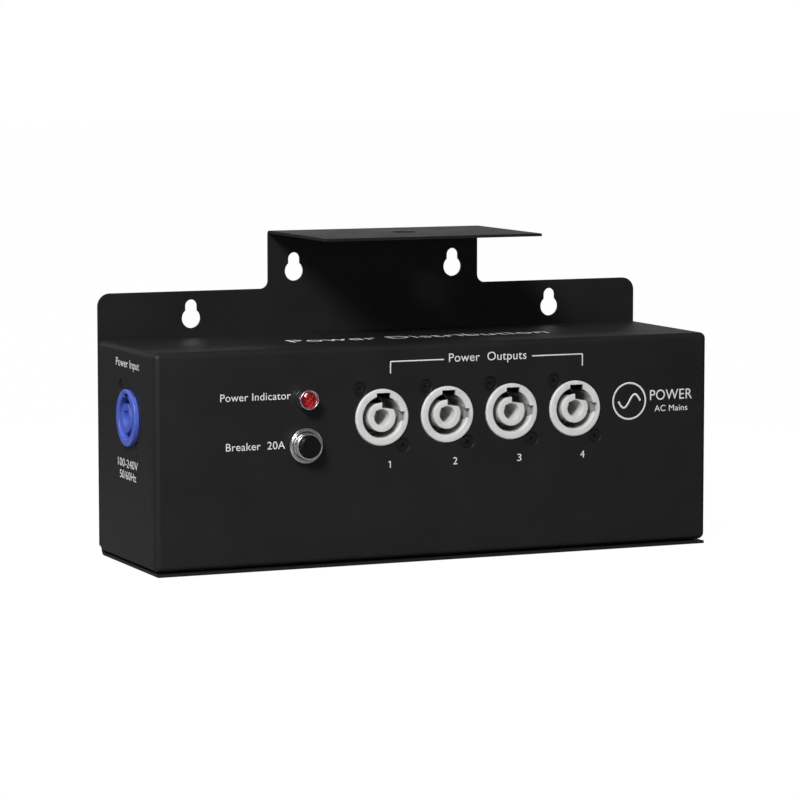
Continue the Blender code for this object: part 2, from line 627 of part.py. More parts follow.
def make_wiring(mats):
    """Inlet to breaker, breaker to outlets, neutral, earth and the lamp's two leads."""
    line_z, neutral_z, earth_z = (OUTLET_Z + h for h in (CONTACT_RADIUS, 0, -CONTACT_RADIUS))
    tab_x = -HALF_W - CONTACT_SPAN[0] + GAP
    tab_line = (tab_x, INLET_Y, INLET_Z + CONTACT_RADIUS)
    tab_neutral = (tab_x, INLET_Y + CONTACT_RADIUS, INLET_Z)
    tab_earth = (tab_x, INLET_Y, INLET_Z - CONTACT_RADIUS)
    terminal_y = FRONT - PANEL_BACK + BREAKER_SIZE[2] + 0.0075 + GAP
    line_end = (CONTROL_X, terminal_y, BREAKER_Z + TERMINAL_RISE)
    load_end = (CONTROL_X, terminal_y, BREAKER_Z - TERMINAL_RISE)

    def lead_out(spot, way):
        """Three points in line, so that a wire's cut end is square to its blade."""
        return [tuple(s + reach * w for s, w in zip(spot, way)) for reach in (0, 0.001, 0.003)]

    inwards, rearwards = (1, 0, 0), (0, 1, 0)
    supply = lead_out(tab_line, inwards) + [(-0.074, 0.008, 0.070), (-0.064, 0.0095, 0.065)]
    supply += lead_out(line_end, rearwards)[::-1]
    add_wire("line_supply_wire", supply, WIRE_RADIUS, mats["wire_brown"])
    load = lead_out(load_end, rearwards) + [(-0.053, 0.007, 0.056), (-0.042, 0.004, 0.069)]
    load += bus_points(line_z, 0, 0)
    add_wire("line_bus_wire", load, WIRE_RADIUS, mats["wire_brown"])
    neutral = lead_out(tab_neutral, inwards) + [(-0.075, 0.016, 0.060), (-0.060, 0.018, 0.058),
                                                (-0.045, 0.013, 0.058)]
    neutral += bus_points(neutral_z, -CONTACT_RADIUS, 0)
    add_wire("neutral_wire", neutral, WIRE_RADIUS, mats["wire_blue"])
    stud = (-0.088, 0.020)
    bond = lead_out(tab_earth, inwards) + [(-0.084, 0.006, 0.035), (stud[0], 0.0125, 0.018)]
    bond += lead_out((stud[0], 0.0145, 0.0095), (0, -0.3, 1))[::-1]
    add_wire("earth_bond_wire", bond, WIRE_RADIUS, mats["wire_green"])
    earth = lead_out((stud[0] + 0.0060, stud[1], 0.0095), inwards)
    earth += [(-0.070, 0.020, 0.017), (-0.060, 0.017, 0.028), (-0.042, 0.010, 0.046)]
    earth += bus_points(earth_z, 0, 0)
    add_wire("earth_bus_wire", earth, WIRE_RADIUS, mats["wire_green"])

    lamp_y = FRONT + 0.018 + GAP
    live = [(CONTROL_X - 0.0012, lamp_y, LAMP_Z), (CONTROL_X - 0.002, lamp_y + 0.006, LAMP_Z + 0.002),
            (CONTROL_X - 0.003, -0.004, LAMP_Z + 0.002), (CONTROL_X - 0.005, 0.000, LAMP_Z - 0.002)]
    add_wire("lamp_lead_line", live, LEAD_RADIUS, mats["wire_brown"])
    back = [(CONTROL_X + 0.0012, lamp_y, LAMP_Z), (CONTROL_X + 0.003, lamp_y + 0.006, LAMP_Z + 0.002),
            (CONTROL_X + 0.006, 0.000, LAMP_Z), (CONTROL_X + 0.006, 0.014, LAMP_Z - 0.008),
            (CONTROL_X + 0.006, 0.0165, LAMP_Z - 0.0106)]
    add_wire("lamp_lead_neutral", back, LEAD_RADIUS, mats["wire_blue"])


# ---------------------------------------------------------------- the box
def build():
    clear_scene()
    mats = {
        "powder_coat": paint("powder_coat", (0.017, 0.017, 0.018), 0.55, 0.0),
        "outlet_plastic": paint("outlet_plastic", (0.66, 0.67, 0.65), 0.45, 0.0),
        "inlet_plastic": paint("inlet_plastic", (0.05, 0.11, 0.52), 0.4, 0.0),
        "black_plastic": paint("black_plastic", (0.012, 0.012, 0.012), 0.5, 0.0),
        "button_plastic": paint("button_plastic", (0.008, 0.008, 0.008), 0.4, 0.0),
        "chrome": paint("chrome", (0.75, 0.75, 0.76), 0.12, 1.0),
        "zinc": paint("zinc", (0.55, 0.56, 0.57), 0.35, 1.0),
        "spring_steel": paint("spring_steel", (0.4, 0.4, 0.4), 0.3, 1.0),
        "black_steel": paint("black_steel", (0.02, 0.02, 0.02), 0.4, 0.6),
        "brass": paint("brass", (0.7, 0.5, 0.2), 0.3, 1.0),
        "lamp_red": paint("lamp_red", (0.5, 0.01, 0.01), 0.15, 0.0),
        "wire_brown": paint("wire_brown", (0.16, 0.06, 0.02), 0.5, 0.0),
        "wire_blue": paint("wire_blue", (0.02, 0.1, 0.4), 0.5, 0.0),
        "wire_green": paint("wire_green", (0.25, 0.4, 0.03), 0.5, 0.0),
    }
    make_bracket(mats["powder_coat"])
    make_cover(mats["powder_coat"])
    make_sockets(mats)
    make_breaker(mats)
    make_lamp(mats)
    make_fasteners(mats)
    make_wiring(mats)


build()
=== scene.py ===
# %% [markdown]
# # A wall-hung power distribution box
# The object is a black sheet-steel box on a C-shaped bracket. A blue twist-lock inlet sits on its
# left face, and four grey twist-lock outlets, a reset breaker and a red lamp sit on its front.
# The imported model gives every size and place. This lesson dresses it: it rebuilds the visible
# pieces with finer shapes, and gives every surface a finish made of nodes.
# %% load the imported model
import json
from math import atan2, cos, hypot, pi, radians, sin

import bmesh
import bpy
from mathutils import Matrix, Vector


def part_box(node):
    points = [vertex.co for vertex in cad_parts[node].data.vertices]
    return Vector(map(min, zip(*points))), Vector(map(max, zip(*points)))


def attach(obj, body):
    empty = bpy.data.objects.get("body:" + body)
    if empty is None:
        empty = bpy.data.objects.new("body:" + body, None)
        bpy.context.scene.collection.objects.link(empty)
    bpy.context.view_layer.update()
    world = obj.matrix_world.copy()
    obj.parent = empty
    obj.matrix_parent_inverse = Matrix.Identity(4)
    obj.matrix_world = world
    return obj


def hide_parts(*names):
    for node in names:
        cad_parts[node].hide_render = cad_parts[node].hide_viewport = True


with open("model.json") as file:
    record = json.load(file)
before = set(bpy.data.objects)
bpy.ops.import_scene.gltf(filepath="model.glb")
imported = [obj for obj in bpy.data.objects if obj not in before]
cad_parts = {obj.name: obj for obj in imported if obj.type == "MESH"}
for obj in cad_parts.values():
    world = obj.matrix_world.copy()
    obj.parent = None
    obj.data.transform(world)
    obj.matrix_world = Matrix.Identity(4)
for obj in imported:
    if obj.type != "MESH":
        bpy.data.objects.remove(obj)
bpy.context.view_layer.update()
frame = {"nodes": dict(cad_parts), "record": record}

# %% [markdown]
# ## Where things are
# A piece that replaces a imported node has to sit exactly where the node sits. So the places are
# read from the nodes' boxes, and only the small sizes that a box can't tell are written here.
# %% places and sizes, in metres
cover_low, cover_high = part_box("front_cover")
bracket_low, bracket_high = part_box("mounting_bracket")
SHEET = 0.0012
OUTLETS = [f"outlet_{number}" for number in range(1, 5)]
SOCKETS = ["inlet"] + OUTLETS
UP, FRONTWARDS, LEFTWARDS = Vector((0, 0, 1)), Vector((0, -1, 0)), Vector((-1, 0, 0))


def middle(node):
    low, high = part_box(node)
    return (low + high) / 2


def facing(spot, out, up=UP):
    """A frame at spot: its Z points out of the surface and its Y points up on it."""
    across = up.cross(out)
    return Matrix.Translation(spot) @ Matrix((across, up, out)).transposed().to_4x4()


def on_front(node):
    centre = middle(node)
    return facing(Vector((centre.x, cover_low.y, centre.z)), FRONTWARDS)


places = {name: on_front(name + "_housing") for name in OUTLETS}
inlet_middle = middle("inlet_housing")
places["inlet"] = facing(Vector((cover_low.x, inlet_middle.y, inlet_middle.z)), LEFTWARDS)
places["breaker"] = on_front("breaker_nut")
places["lamp"] = on_front("lamp_bezel")
for name, place in places.items():
    print(f"{name}: {[round(v * 1000, 1) for v in place.translation]} mm")

# %% [markdown]
# ## Making solids
# Turned pieces, such as rings and buttons, are a profile spun round an axis. Folded and cut sheet
# is an outline pushed to a thickness, then cut. Small helpers do that on a bmesh, and another turns
# the result into an object with smooth shading that stays crisp at real corners.
# %% solids from profiles and outlines
def arc(centre, radius, start, end, steps):
    turns = [radians(start + (end - start) * step / steps) for step in range(steps + 1)]
    return [(centre[0] + radius * cos(turn), centre[1] + radius * sin(turn)) for turn in turns]


def inner_lip(radius, height, size, steps):
    """The rounded rim of a hole, from its wall up to its face."""
    return arc((radius + size, height - size), size, 180, 90, steps)


def outer_lip(radius, height, size, steps):
    """The rounded rim of a rod or ring, from its face down to its wall."""
    return arc((radius - size, height - size), size, 90, 0, steps)


RIM_SIDES, SCREW_SIDES, HIDDEN_SIDES = 96, 40, 24


def add_turned(bm, profile, sides, place=Matrix.Identity(4), closed=False):
    """Spin (radius, height) points round Z. A radius of 0 makes a single point."""
    loops = []
    for radius, height in profile:
        count = sides if radius > 0 else 1
        turns = [2 * pi * k / count for k in range(count)]
        loops.append([bm.verts.new(place @ Vector((radius * cos(t), radius * sin(t), height)))
                      for t in turns])
    pairs = list(zip(loops, loops[1:])) + ([(loops[-1], loops[0])] if closed else [])
    faces = []
    for near, far in pairs:
        for k in range(sides):
            n = (k + 1) % sides
            corners = [near[k % len(near)], far[k % len(far)], far[n % len(far)], near[n % len(near)]]
            faces.append(bm.faces.new(list(dict.fromkeys(corners))))
    bmesh.ops.recalc_face_normals(bm, faces=faces)


def add_prism(bm, outline, low, high, place=Matrix.Identity(4)):
    floor = [bm.verts.new(place @ Vector((x, y, low))) for x, y in outline]
    roof = [bm.verts.new(place @ Vector((x, y, high))) for x, y in outline]
    faces = [bm.faces.new(floor), bm.faces.new(roof)]
    for k in range(len(outline)):
        n = (k + 1) % len(outline)
        faces.append(bm.faces.new([floor[k], floor[n], roof[n], roof[k]]))
    bmesh.ops.recalc_face_normals(bm, faces=faces)


def rectangle(width, height, centre=(0, 0)):
    x, y = width / 2, height / 2
    return [(centre[0] + i, centre[1] + j) for i, j in ((-x, -y), (x, -y), (x, y), (-x, y))]


def add_block(bm, low, high):
    centre = ((low[0] + high[0]) / 2, (low[1] + high[1]) / 2)
    add_prism(bm, rectangle(high[0] - low[0], high[1] - low[1], centre), low[2], high[2])


def punch(radius, top, bottom):
    """The profile of a plain round cutter, from axis to axis."""
    return [(0, top), (radius, top), (radius, bottom), (0, bottom)]


def form(add, *sizes, **options):
    """A new bmesh that holds one turned shape, prism or block."""
    bm = bmesh.new()
    add(bm, *sizes, **options)
    return bm


def add_object(name, data):
    """An object for a mesh, curve, lamp or camera, linked into the scene."""
    thing = bpy.data.objects.new(name, data)
    bpy.context.scene.collection.objects.link(thing)
    return thing


def solid(name, bm, sharp=32):
    """An object from a bmesh, smooth except across edges sharper than the angle."""
    mesh = bpy.data.meshes.new(name)
    bm.to_mesh(mesh)
    bm.free()
    mesh.shade_smooth()
    mesh.set_sharp_from_angle(angle=radians(sharp))
    return add_object(name, mesh)


# %% [markdown]
# ## Cutting, and softening the corners
# Punched holes and moulded slots are Boolean cuts. A real corner is never perfectly sharp: it has
# a small radius that catches the light, so a Bevel follows the cuts. The Bevel also marks its new
# faces with a second material slot. That mark becomes a corner attribute called "edge", which
# tells a finish where handling wears it.
# %% cut and soften
def boolean(piece, bm, operation="DIFFERENCE"):
    guide = solid(piece.name + "_guide", bm)
    cut = piece.modifiers.new("cut", "BOOLEAN")
    cut.operation, cut.solver, cut.object = operation, "EXACT", guide
    settle(piece)
    bpy.data.objects.remove(guide, do_unlink=True)


def drill(piece, holes, sides):
    """Cut turned holes, each given as its profile and its place."""
    bm = bmesh.new()
    for profile, place in holes:
        add_turned(bm, profile, sides, place)
    boolean(piece, bm)


def settle(piece):
    """Make the modifiers' result the piece's own mesh."""
    depsgraph = bpy.context.evaluated_depsgraph_get()
    mesh = bpy.data.meshes.new_from_object(piece.evaluated_get(depsgraph))
    piece.modifiers.clear()
    piece.data = mesh


def soften(piece, width, segments=2, angle=32):
    """Round the sharp edges and keep where they are in the corner attribute "edge"."""
    mesh = piece.data
    mesh.materials.clear()
    for _slot in range(2):
        mesh.materials.append(None)
    mesh.polygons.foreach_set("material_index", [0] * len(mesh.polygons))
    bevel = piece.modifiers.new("soften", "BEVEL")
    bevel.width, bevel.segments, bevel.limit_method = width, segments, "ANGLE"
    bevel.angle_limit, bevel.material, bevel.harden_normals = radians(angle), 1, True
    settle(piece)
    mesh = piece.data
    edge = mesh.attributes.new("edge", "FLOAT", "CORNER")
    for face in mesh.polygons:
        for corner in face.loop_indices:
            edge.data[corner].value = float(face.material_index)
        face.material_index = 0
    mesh.materials.clear()


# %% [markdown]
# ## Node helpers for finishes
# Each finish is a Principled shader fed by a few textures. The helper keeps the wiring short: it
# makes a node, sets its plain values and links whatever comes from another node. Coordinates are
# Object coordinates in metres, so a noise scale of 1000 gives grains about a millimetre across.
# %% the finish maker
def wire(tree, node, values):
    """Set a node's plain values, and link the values that come from another node."""
    for key, value in values.items():
        if isinstance(value, bpy.types.NodeSocket):
            tree.links.new(value, node.inputs[key])
        else:
            node.inputs[key].default_value = value


class Finish:
    def __init__(self, name, colour, roughness, metallic=0.0, **plain):
        self.material = bpy.data.materials.new(name)
        self.material.use_nodes = True
        self.tree = self.material.node_tree
        self.shader = self.tree.nodes["Principled BSDF"]
        self.set(self.shader, {"Base Color": (*colour, 1), "Roughness": roughness,
                               "Metallic": metallic, **plain})
        self.where = self.tree.nodes.new("ShaderNodeTexCoord").outputs["Object"]

    def set(self, node, values):
        wire(self.tree, node, values)

    def node(self, kind, values=(), out=0, **settings):
        made = self.tree.nodes.new("ShaderNode" + kind)
        for key, value in settings.items():
            setattr(made, key, value)
        wire(self.tree, made, dict(values))
        return made.outputs[out]

    def noise(self, scale, detail=2.0, roughness=0.5):
        return self.node("TexNoise", {"Vector": self.where, "Scale": scale, "Detail": detail,
                                      "Roughness": roughness})

    def levels(self, value, low, high, to_low=0.0, to_high=1.0):
        return self.node("MapRange", {"Value": value, "From Min": low, "From Max": high,
                                      "To Min": to_low, "To Max": to_high})

    def blend(self, factor, first, second):
        """A colour between two colours, each a triple or another node's output. A Mix node has a
        set of sockets for each kind of value: its colours are inputs 6 and 7, and output 2."""
        ends = [(*end, 1) if isinstance(end, tuple) else end for end in (first, second)]
        return self.node("Mix", {0: factor, 6: ends[0], 7: ends[1]}, 2, data_type="RGBA")

    def maths(self, operation, first, second):
        return self.node("Math", {0: first, 1: second}, operation=operation)

    def bump(self, height, distance, strength=1.0, onto=None):
        values = {"Height": height, "Distance": distance, "Strength": strength}
        if onto is not None:
            values["Normal"] = onto
        return self.node("Bump", values)


finishes = {}


def make_all(maker, table):
    for name, settings in table.items():
        finishes[name] = maker(name, **settings)
    print("made", ", ".join(table))


# %% [markdown]
# ## Powder coat
# The steel is powder-coated: dry paint is sprayed on and baked, and it melts into a skin with fine
# hard pimples about half a millimetre apart over a slow orange-peel wave. Two noises make the
# bump. A third breaks up the gloss, as dust and handling do. The coat is thinner on cut edges, so
# the "edge" attribute lets a little grey through there, broken by a noise.
# %% powder coat
PAINT, DUST, SPECK, WORN = ((0.0105, 0.0105, 0.011), (0.0150, 0.0152, 0.0155),
                            (0.035, 0.035, 0.036), (0.045, 0.045, 0.047))


def make_powder_coat():
    coat = Finish("powder_coat", PAINT, 0.5, **{"Specular IOR Level": 0.26})
    grain = coat.noise(2100, 3.0, 0.6)
    peel = coat.noise(420, 1.0)
    patch = coat.noise(38, 3.0, 0.6)
    speck = coat.levels(coat.noise(1500, 1.0), 0.68, 0.75)
    edge = coat.node("Attribute", attribute_name="edge", out="Fac")
    worn = coat.maths("MULTIPLY", edge, coat.levels(coat.noise(300, 2.0), 0.42, 0.62))
    dusty = coat.blend(coat.levels(patch, 0.35, 0.7, 0.0, 0.45), PAINT, DUST)
    flecked = coat.blend(coat.maths("MULTIPLY", speck, 0.35), dusty, SPECK)
    colour = coat.blend(coat.maths("MULTIPLY", worn, 0.2), flecked, WORN)
    rough = coat.maths("ADD", coat.levels(grain, 0.3, 0.7, 0.44, 0.58),
                       coat.levels(patch, 0.3, 0.7, -0.04, 0.05))
    wave = coat.bump(peel, 0.00003, 0.5)
    skin = coat.bump(grain, 0.00002, 0.8, onto=wave)
    coat.set(coat.shader, {"Base Color": colour, "Roughness": rough, "Normal": skin})
    return coat.material


finishes["powder_coat"] = make_powder_coat()
print("made", finishes["powder_coat"].name)

# %% [markdown]
# ## Moulded plastics
# The sockets are glass-filled nylon. Its skin is satin, with a very fine spark-eroded texture and
# faint flow clouds in the colour. Plugs polish the edges and leave grey smudges, and little light
# gets into the grooves, so a corner attribute called "depth" darkens the colour there. One recipe
# makes the grey, the blue and the blacks, with its own colours each time.
# %% moulded nylon and phenolic
# Painted shade: the depth ranges over which the grooves darken, and the throat goes near black.
GROOVE_DEPTHS, THROAT_DEPTHS = (0.3, 8.0), (18.0, 25.0)
THROAT_SHADE = (0.004, 0.004, 0.004)


def make_moulded(name, light, dark, roughness, dirt=(0.05, 0.045, 0.04), dirt_amount=0.25,
                 specular=0.5, hollow=0.5):
    nylon = Finish(name, light, roughness, **{"Specular IOR Level": specular})
    clouds = nylon.levels(nylon.noise(160, 3.0), 0.3, 0.7)
    grain = nylon.noise(3500, 2.0)
    smudge = nylon.levels(nylon.noise(420, 4.0, 0.65), 0.56, 0.74)
    body = nylon.blend(clouds, light, dark)
    colour = nylon.blend(nylon.maths("MULTIPLY", smudge, dirt_amount), body, dirt)
    depth = nylon.node("Attribute", attribute_name="depth", out="Fac")
    # Painted shade: the colour darkens with depth in the grooves, by the hollow level, and goes near
    # black in the throat and the side notch.
    groove_shade = tuple(part * hollow for part in dark)
    colour = nylon.blend(nylon.levels(depth, *GROOVE_DEPTHS), colour, groove_shade)
    colour = nylon.blend(nylon.levels(depth, *THROAT_DEPTHS), colour, THROAT_SHADE)
    edge = nylon.node("Attribute", attribute_name="edge", out="Fac")
    satin = nylon.levels(grain, 0.3, 0.7, roughness - 0.05, roughness + 0.07)
    polished = nylon.maths("SUBTRACT", satin, nylon.maths("MULTIPLY", edge, 0.1))
    nylon.set(nylon.shader, {"Base Color": colour, "Roughness": polished,
                             "Normal": nylon.bump(grain, 0.000012, 0.6)})
    return nylon.material


make_all(make_moulded, {
    "outlet_plastic": dict(light=(0.77, 0.78, 0.76), dark=(0.68, 0.69, 0.67), roughness=0.42,
                           hollow=0.4),
    "inlet_plastic": dict(light=(0.09, 0.14, 0.58), dark=(0.06, 0.105, 0.50), roughness=0.36,
                          dirt=(0.01, 0.02, 0.15), dirt_amount=0.3),
    "black_plastic": dict(light=(0.013, 0.013, 0.013), dark=(0.009, 0.009, 0.009), roughness=0.5,
                          dirt=(0.03, 0.03, 0.03), dirt_amount=0.3),
    "button_plastic": dict(light=(0.006, 0.006, 0.0065), dark=(0.003, 0.003, 0.003),
                           roughness=0.35, dirt=(0.012, 0.012, 0.012), dirt_amount=0.3,
                           specular=0.2)})

# %% [markdown]
# ## Metals
# Bright plate is nearly a mirror, but it shows a faint polishing grain and small dull pits. Zinc
# and blackened screws are duller, with a cloudy roughness. Brass blades darken with age, so their
# colour runs from bright to brown.
# %% plated and plain metals
def make_metal(name, bright, dull, roughness, spread, metallic=1.0, pits=0.4):
    metal = Finish(name, bright, roughness, metallic)
    clouds = metal.noise(240, 3.0, 0.6)
    brushing = metal.noise(1800, 2.0)
    tarnish = metal.levels(metal.noise(520, 3.0, 0.7), 0.5, 0.75)
    colour = metal.blend(metal.maths("MULTIPLY", tarnish, pits), bright, dull)
    rough = metal.maths("ADD", metal.levels(clouds, 0.3, 0.7, roughness, roughness + spread),
                        metal.levels(brushing, 0.3, 0.7, 0.0, spread * 0.5))
    metal.set(metal.shader, {"Base Color": colour, "Roughness": rough,
                             "Normal": metal.bump(brushing, 0.000004, 0.4)})
    return metal.material


make_all(make_metal, {
    "chrome": dict(bright=(0.92, 0.92, 0.92), dull=(0.70, 0.69, 0.67), roughness=0.12, spread=0.10),
    "zinc": dict(bright=(0.55, 0.56, 0.58), dull=(0.35, 0.35, 0.34), roughness=0.32, spread=0.14),
    "spring_steel": dict(bright=(0.45, 0.45, 0.45), dull=(0.2, 0.19, 0.18), roughness=0.25,
                         spread=0.1),
    "black_steel": dict(bright=(0.009, 0.009, 0.009), dull=(0.004, 0.004, 0.004), roughness=0.26,
                        spread=0.12, metallic=0.2),
    "brass": dict(bright=(0.26, 0.18, 0.075), dull=(0.09, 0.06, 0.03), roughness=0.35,
                  spread=0.16, pits=0.8)})

# %% [markdown]
# ## Lamp lens, ink and wire insulation
# The lens is dark red acrylic, glossy under a clear coat. The facets that lean to the lower right get a
# faint painted glow, an emission broken by a noise that stands in for light from the upper left coming
# out again. The lens could be real glass, but that needs many more samples at this size. Screen-printed
# ink is matte, and slightly uneven where the mesh left it thin. The earth wire is green with a yellow
# stripe from a wave texture.
# %% lens, ink and insulation
LOWER_RIGHT = (0.8, 0.0, -0.6)


def make_lens():
    lens = Finish("lamp_red", (0.22, 0.003, 0.004), 0.08, **{
        "Coat Weight": 0.25, "Coat Roughness": 0.15, "Specular IOR Level": 0.3,
        "Emission Color": (1.0, 0.015, 0.03, 1)})
    swirl = lens.levels(lens.noise(260, 1.0), 0.36, 0.6, 0.15)
    colour = lens.blend(swirl, (0.03, 0.001, 0.001), (0.16, 0.002, 0.003))
    normal = lens.node("NewGeometry", out="Normal")
    lean = lens.node("VectorMath", {0: normal, 1: LOWER_RIGHT}, "Value", operation="DOT_PRODUCT")
    # Painted glow: emission on the facets that lean to the lower right, lit by no lamp in the scene.
    glow = lens.maths("MULTIPLY", lens.levels(lean, 0.02, 0.3, 0.0, 0.6), swirl)
    lens.set(lens.shader, {"Base Color": colour, "Emission Strength": glow,
                           "Roughness": lens.levels(swirl, 0, 1, 0.14, 0.24)})
    return lens.material


def make_ink():
    ink = Finish("legend_white", (0.8, 0.8, 0.8), 0.55, **{"Specular IOR Level": 0.3})
    thin = ink.levels(ink.noise(2600, 2.0), 0.58, 0.75)
    colour = ink.blend(ink.maths("MULTIPLY", thin, 0.35), (0.82, 0.82, 0.81), (0.40, 0.40, 0.40))
    ink.set(ink.shader, {"Base Color": colour, "Normal": ink.bump(thin, 0.000005, 0.5)})
    return ink.material


def make_insulation(name, light, dark, stripe=None):
    cover = Finish(name, light, 0.42)
    colour = cover.blend(cover.levels(cover.noise(500, 2.0), 0.3, 0.7), light, dark)
    if stripe:
        bands = cover.node("TexWave", {"Vector": cover.where, "Scale": 90.0, "Distortion": 1.0})
        colour = cover.blend(cover.levels(bands, 0.55, 0.6), colour, stripe)
    cover.set(cover.shader, {"Base Color": colour,
                             "Roughness": cover.levels(cover.noise(900), 0.3, 0.7, 0.36, 0.48)})
    return cover.material


finishes["lamp_red"] = make_lens()
finishes["legend_white"] = make_ink()
make_all(make_insulation, {
    "wire_brown": dict(light=(0.17, 0.065, 0.025), dark=(0.12, 0.045, 0.018)),
    "wire_blue": dict(light=(0.03, 0.12, 0.45), dark=(0.02, 0.09, 0.36)),
    "wire_green": dict(light=(0.04, 0.22, 0.03), dark=(0.03, 0.17, 0.02),
                       stripe=(0.62, 0.52, 0.03))})

# %% [markdown]
# ## Handing a piece over
# A finished piece gets its finish, the imported nodes that it stands for and the body that it rides
# on. One helper does all three, so no piece misses one.
# %% hand a piece over
slot_of = {part["node"]: part["material_slot"] for part in frame["record"]["subparts"]}
body_of = {node: body for body, names in frame["record"]["behaviour"]["bodies"].items()
           for node in names}


def hand_over(piece, finish, nodes=(), body="housing"):
    piece.data.materials.clear()
    piece.data.materials.append(finishes[finish])
    if nodes:
        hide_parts(*nodes)
        body = body_of[nodes[0]]
    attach(piece, body)
    print(f"{piece.name}: {len(piece.data.polygons)} faces in {finish}")
    return piece


# %% [markdown]
# ## Running Geometry Nodes from a script
# Folds, screws, threads, facets and printed lines repeat or follow a rule, so Geometry Nodes make
# them. A tree is built with named inputs. Each value is set through the input's identifier,
# because two inputs may share a name but never an identifier. Then the evaluated result is read
# back as a plain mesh, and the modifier is gone.
# %% build and run a node tree
class Tree:
    def __init__(self, name, inputs):
        self.group = bpy.data.node_groups.new(name, "GeometryNodeTree")
        face = self.group.interface
        face.new_socket("Geometry", in_out="INPUT", socket_type="NodeSocketGeometry")
        for label, (kind, value) in inputs.items():
            made = face.new_socket(label, in_out="INPUT", socket_type="NodeSocket" + kind)
            if value is not None:
                made.default_value = value
        face.new_socket("Geometry", in_out="OUTPUT", socket_type="NodeSocketGeometry")
        self.inputs = self.group.nodes.new("NodeGroupInput").outputs
        self.end = self.group.nodes.new("NodeGroupOutput")

    def node(self, kind, values=(), out=0, **settings):
        made = self.group.nodes.new(kind)
        for key, value in settings.items():
            setattr(made, key, value)
        wire(self.group, made, dict(values))
        return made.outputs[out]

    def maths(self, operation, first, second=0.0):
        return self.node("ShaderNodeMath", {0: first, 1: second}, operation=operation)

    def split(self, vector):
        made = self.group.nodes.new("ShaderNodeSeparateXYZ")
        self.group.links.new(vector, made.inputs[0])
        return made.outputs

    def close(self, geometry, finish):
        """End in Realize Instances and Set Material, so the result is one plain mesh with its finish.
        """
        real = self.node("GeometryNodeRealizeInstances", {"Geometry": geometry})
        painted = self.node("GeometryNodeSetMaterial", {"Geometry": real,
                                                        "Material": finishes[finish]})
        self.group.links.new(painted, self.end.inputs[0])
        return self.group


def grow(name, seed, tree, attributes=None, **values):
    """Run a tree on a seed mesh, with values on its points, and give a plain object."""
    host = solid(name, seed)
    for label, (kind, items) in (attributes or {}).items():
        made = host.data.attributes.new(label, kind, "POINT")
        for item, value in zip(made.data, items):
            item.value = value
    nodes = host.modifiers.new("grow", "NODES")
    nodes.node_group = tree
    for item in tree.interface.items_tree:
        label = item.name.replace(" ", "_")
        if item.item_type == "SOCKET" and item.in_out == "INPUT" and label in values:
            nodes[item.identifier] = values[label]
    host.data.update()
    settle(host)
    bm = bmesh.new()
    bm.from_mesh(host.data)
    bmesh.ops.remove_doubles(bm, verts=bm.verts, dist=1e-7)
    bmesh.ops.recalc_face_normals(bm, faces=bm.faces)
    bm.to_mesh(host.data)
    bm.free()
    return host


# %% [markdown]
# ## A strip that follows a path
# Folded sheet and a printed line are the same idea at different sizes: a flat strip that follows a
# path. The path is a few points. Fillet Curve rounds each corner by the radius stored on its
# point, as a brake press rounds a fold, and the strip's own cross-section is swept along it.
# %% sweep a strip
def strip_tree(name, finish, folds=True):
    tree = Tree(name, {"Thickness": ("Float", 0.001), "Width": ("Float", 0.01),
                       "Fold Steps": ("Int", 6)})
    path = tree.node("GeometryNodeMeshToCurve", {"Mesh": tree.inputs["Geometry"]})
    if folds:
        radius = tree.node("GeometryNodeInputNamedAttribute", {"Name": "fold"}, data_type="FLOAT")
        path = tree.node("GeometryNodeFilletCurve", {
            "Curve": path, "Radius": radius, "Count": tree.inputs["Fold Steps"]}, mode="POLY")
    upright = tree.node("GeometryNodeSetCurveNormal", {"Curve": path}, mode="Z_UP")
    section = tree.node("GeometryNodeCurvePrimitiveQuadrilateral", {
        "Width": tree.inputs["Thickness"], "Height": tree.inputs["Width"]})
    swept = tree.node("GeometryNodeCurveToMesh", {"Curve": upright, "Profile Curve": section,
                                                  "Fill Caps": True})
    return tree.close(swept, finish)


def path_of(points, loop=False):
    bm = bmesh.new()
    verts = [bm.verts.new((x, y, 0)) for x, y in points]
    for near, far in zip(verts, verts[1:] + (verts[:1] if loop else [])):
        bm.edges.new((near, far))
    return bm


folded_sheet = strip_tree("folded_sheet", "powder_coat")
print("folded_sheet:", len(folded_sheet.nodes), "nodes")

# %% [markdown]
# ## The mounting bracket
# One sheet is folded twice into a C: the clamp shelf, the back plate and the base plate. It could
# be three boxes pushed together, but then the folds would be hard corners. Here the four points of
# the sheet's centre line go through the strip tree, which rounds both folds. The flat blank's
# outline then trims it, and the keyholes and screw seats are cut out.
# %% the folded sheet and its outline
BASE_BEND, SHELF_BEND = 0.003, 0.002
SHELF_HALF, SHELF_LENGTH = 0.04975, 0.0675
BASE_INSET = 0.001
WING_TOP = 0.112
WING_CORNER, NOTCH_CORNER = 0.0055, 0.0035
BEYOND, THROUGH = 0.002, -0.004  # how far a cutter starts outside a panel and ends behind it


def centre_line():
    """From the base plate's front edge, up the back and out to the shelf's front edge."""
    back = bracket_high.y - SHEET / 2
    floor, roof = bracket_low.z + SHEET / 2, bracket_high.z - SHEET / 2
    return [(bracket_low.y, floor), (back, floor), (back, roof), (bracket_high.y - SHELF_LENGTH, roof)]


def blank_outline():
    half = bracket_high.x
    inset, fold_top = half - BASE_INSET, BASE_BEND + 0.001
    right = [(inset, -BEYOND), (inset, fold_top - 0.0008), (inset + 0.0003, fold_top), (half, fold_top)]
    right += arc((half - WING_CORNER, WING_TOP - WING_CORNER), WING_CORNER, 0, 90, 14)
    right += arc((SHELF_HALF + NOTCH_CORNER, WING_TOP + NOTCH_CORNER), NOTCH_CORNER, 270, 180, 12)
    right += [(SHELF_HALF, bracket_high.z + BEYOND)]
    return right + [(-x, z) for x, z in reversed(right)]


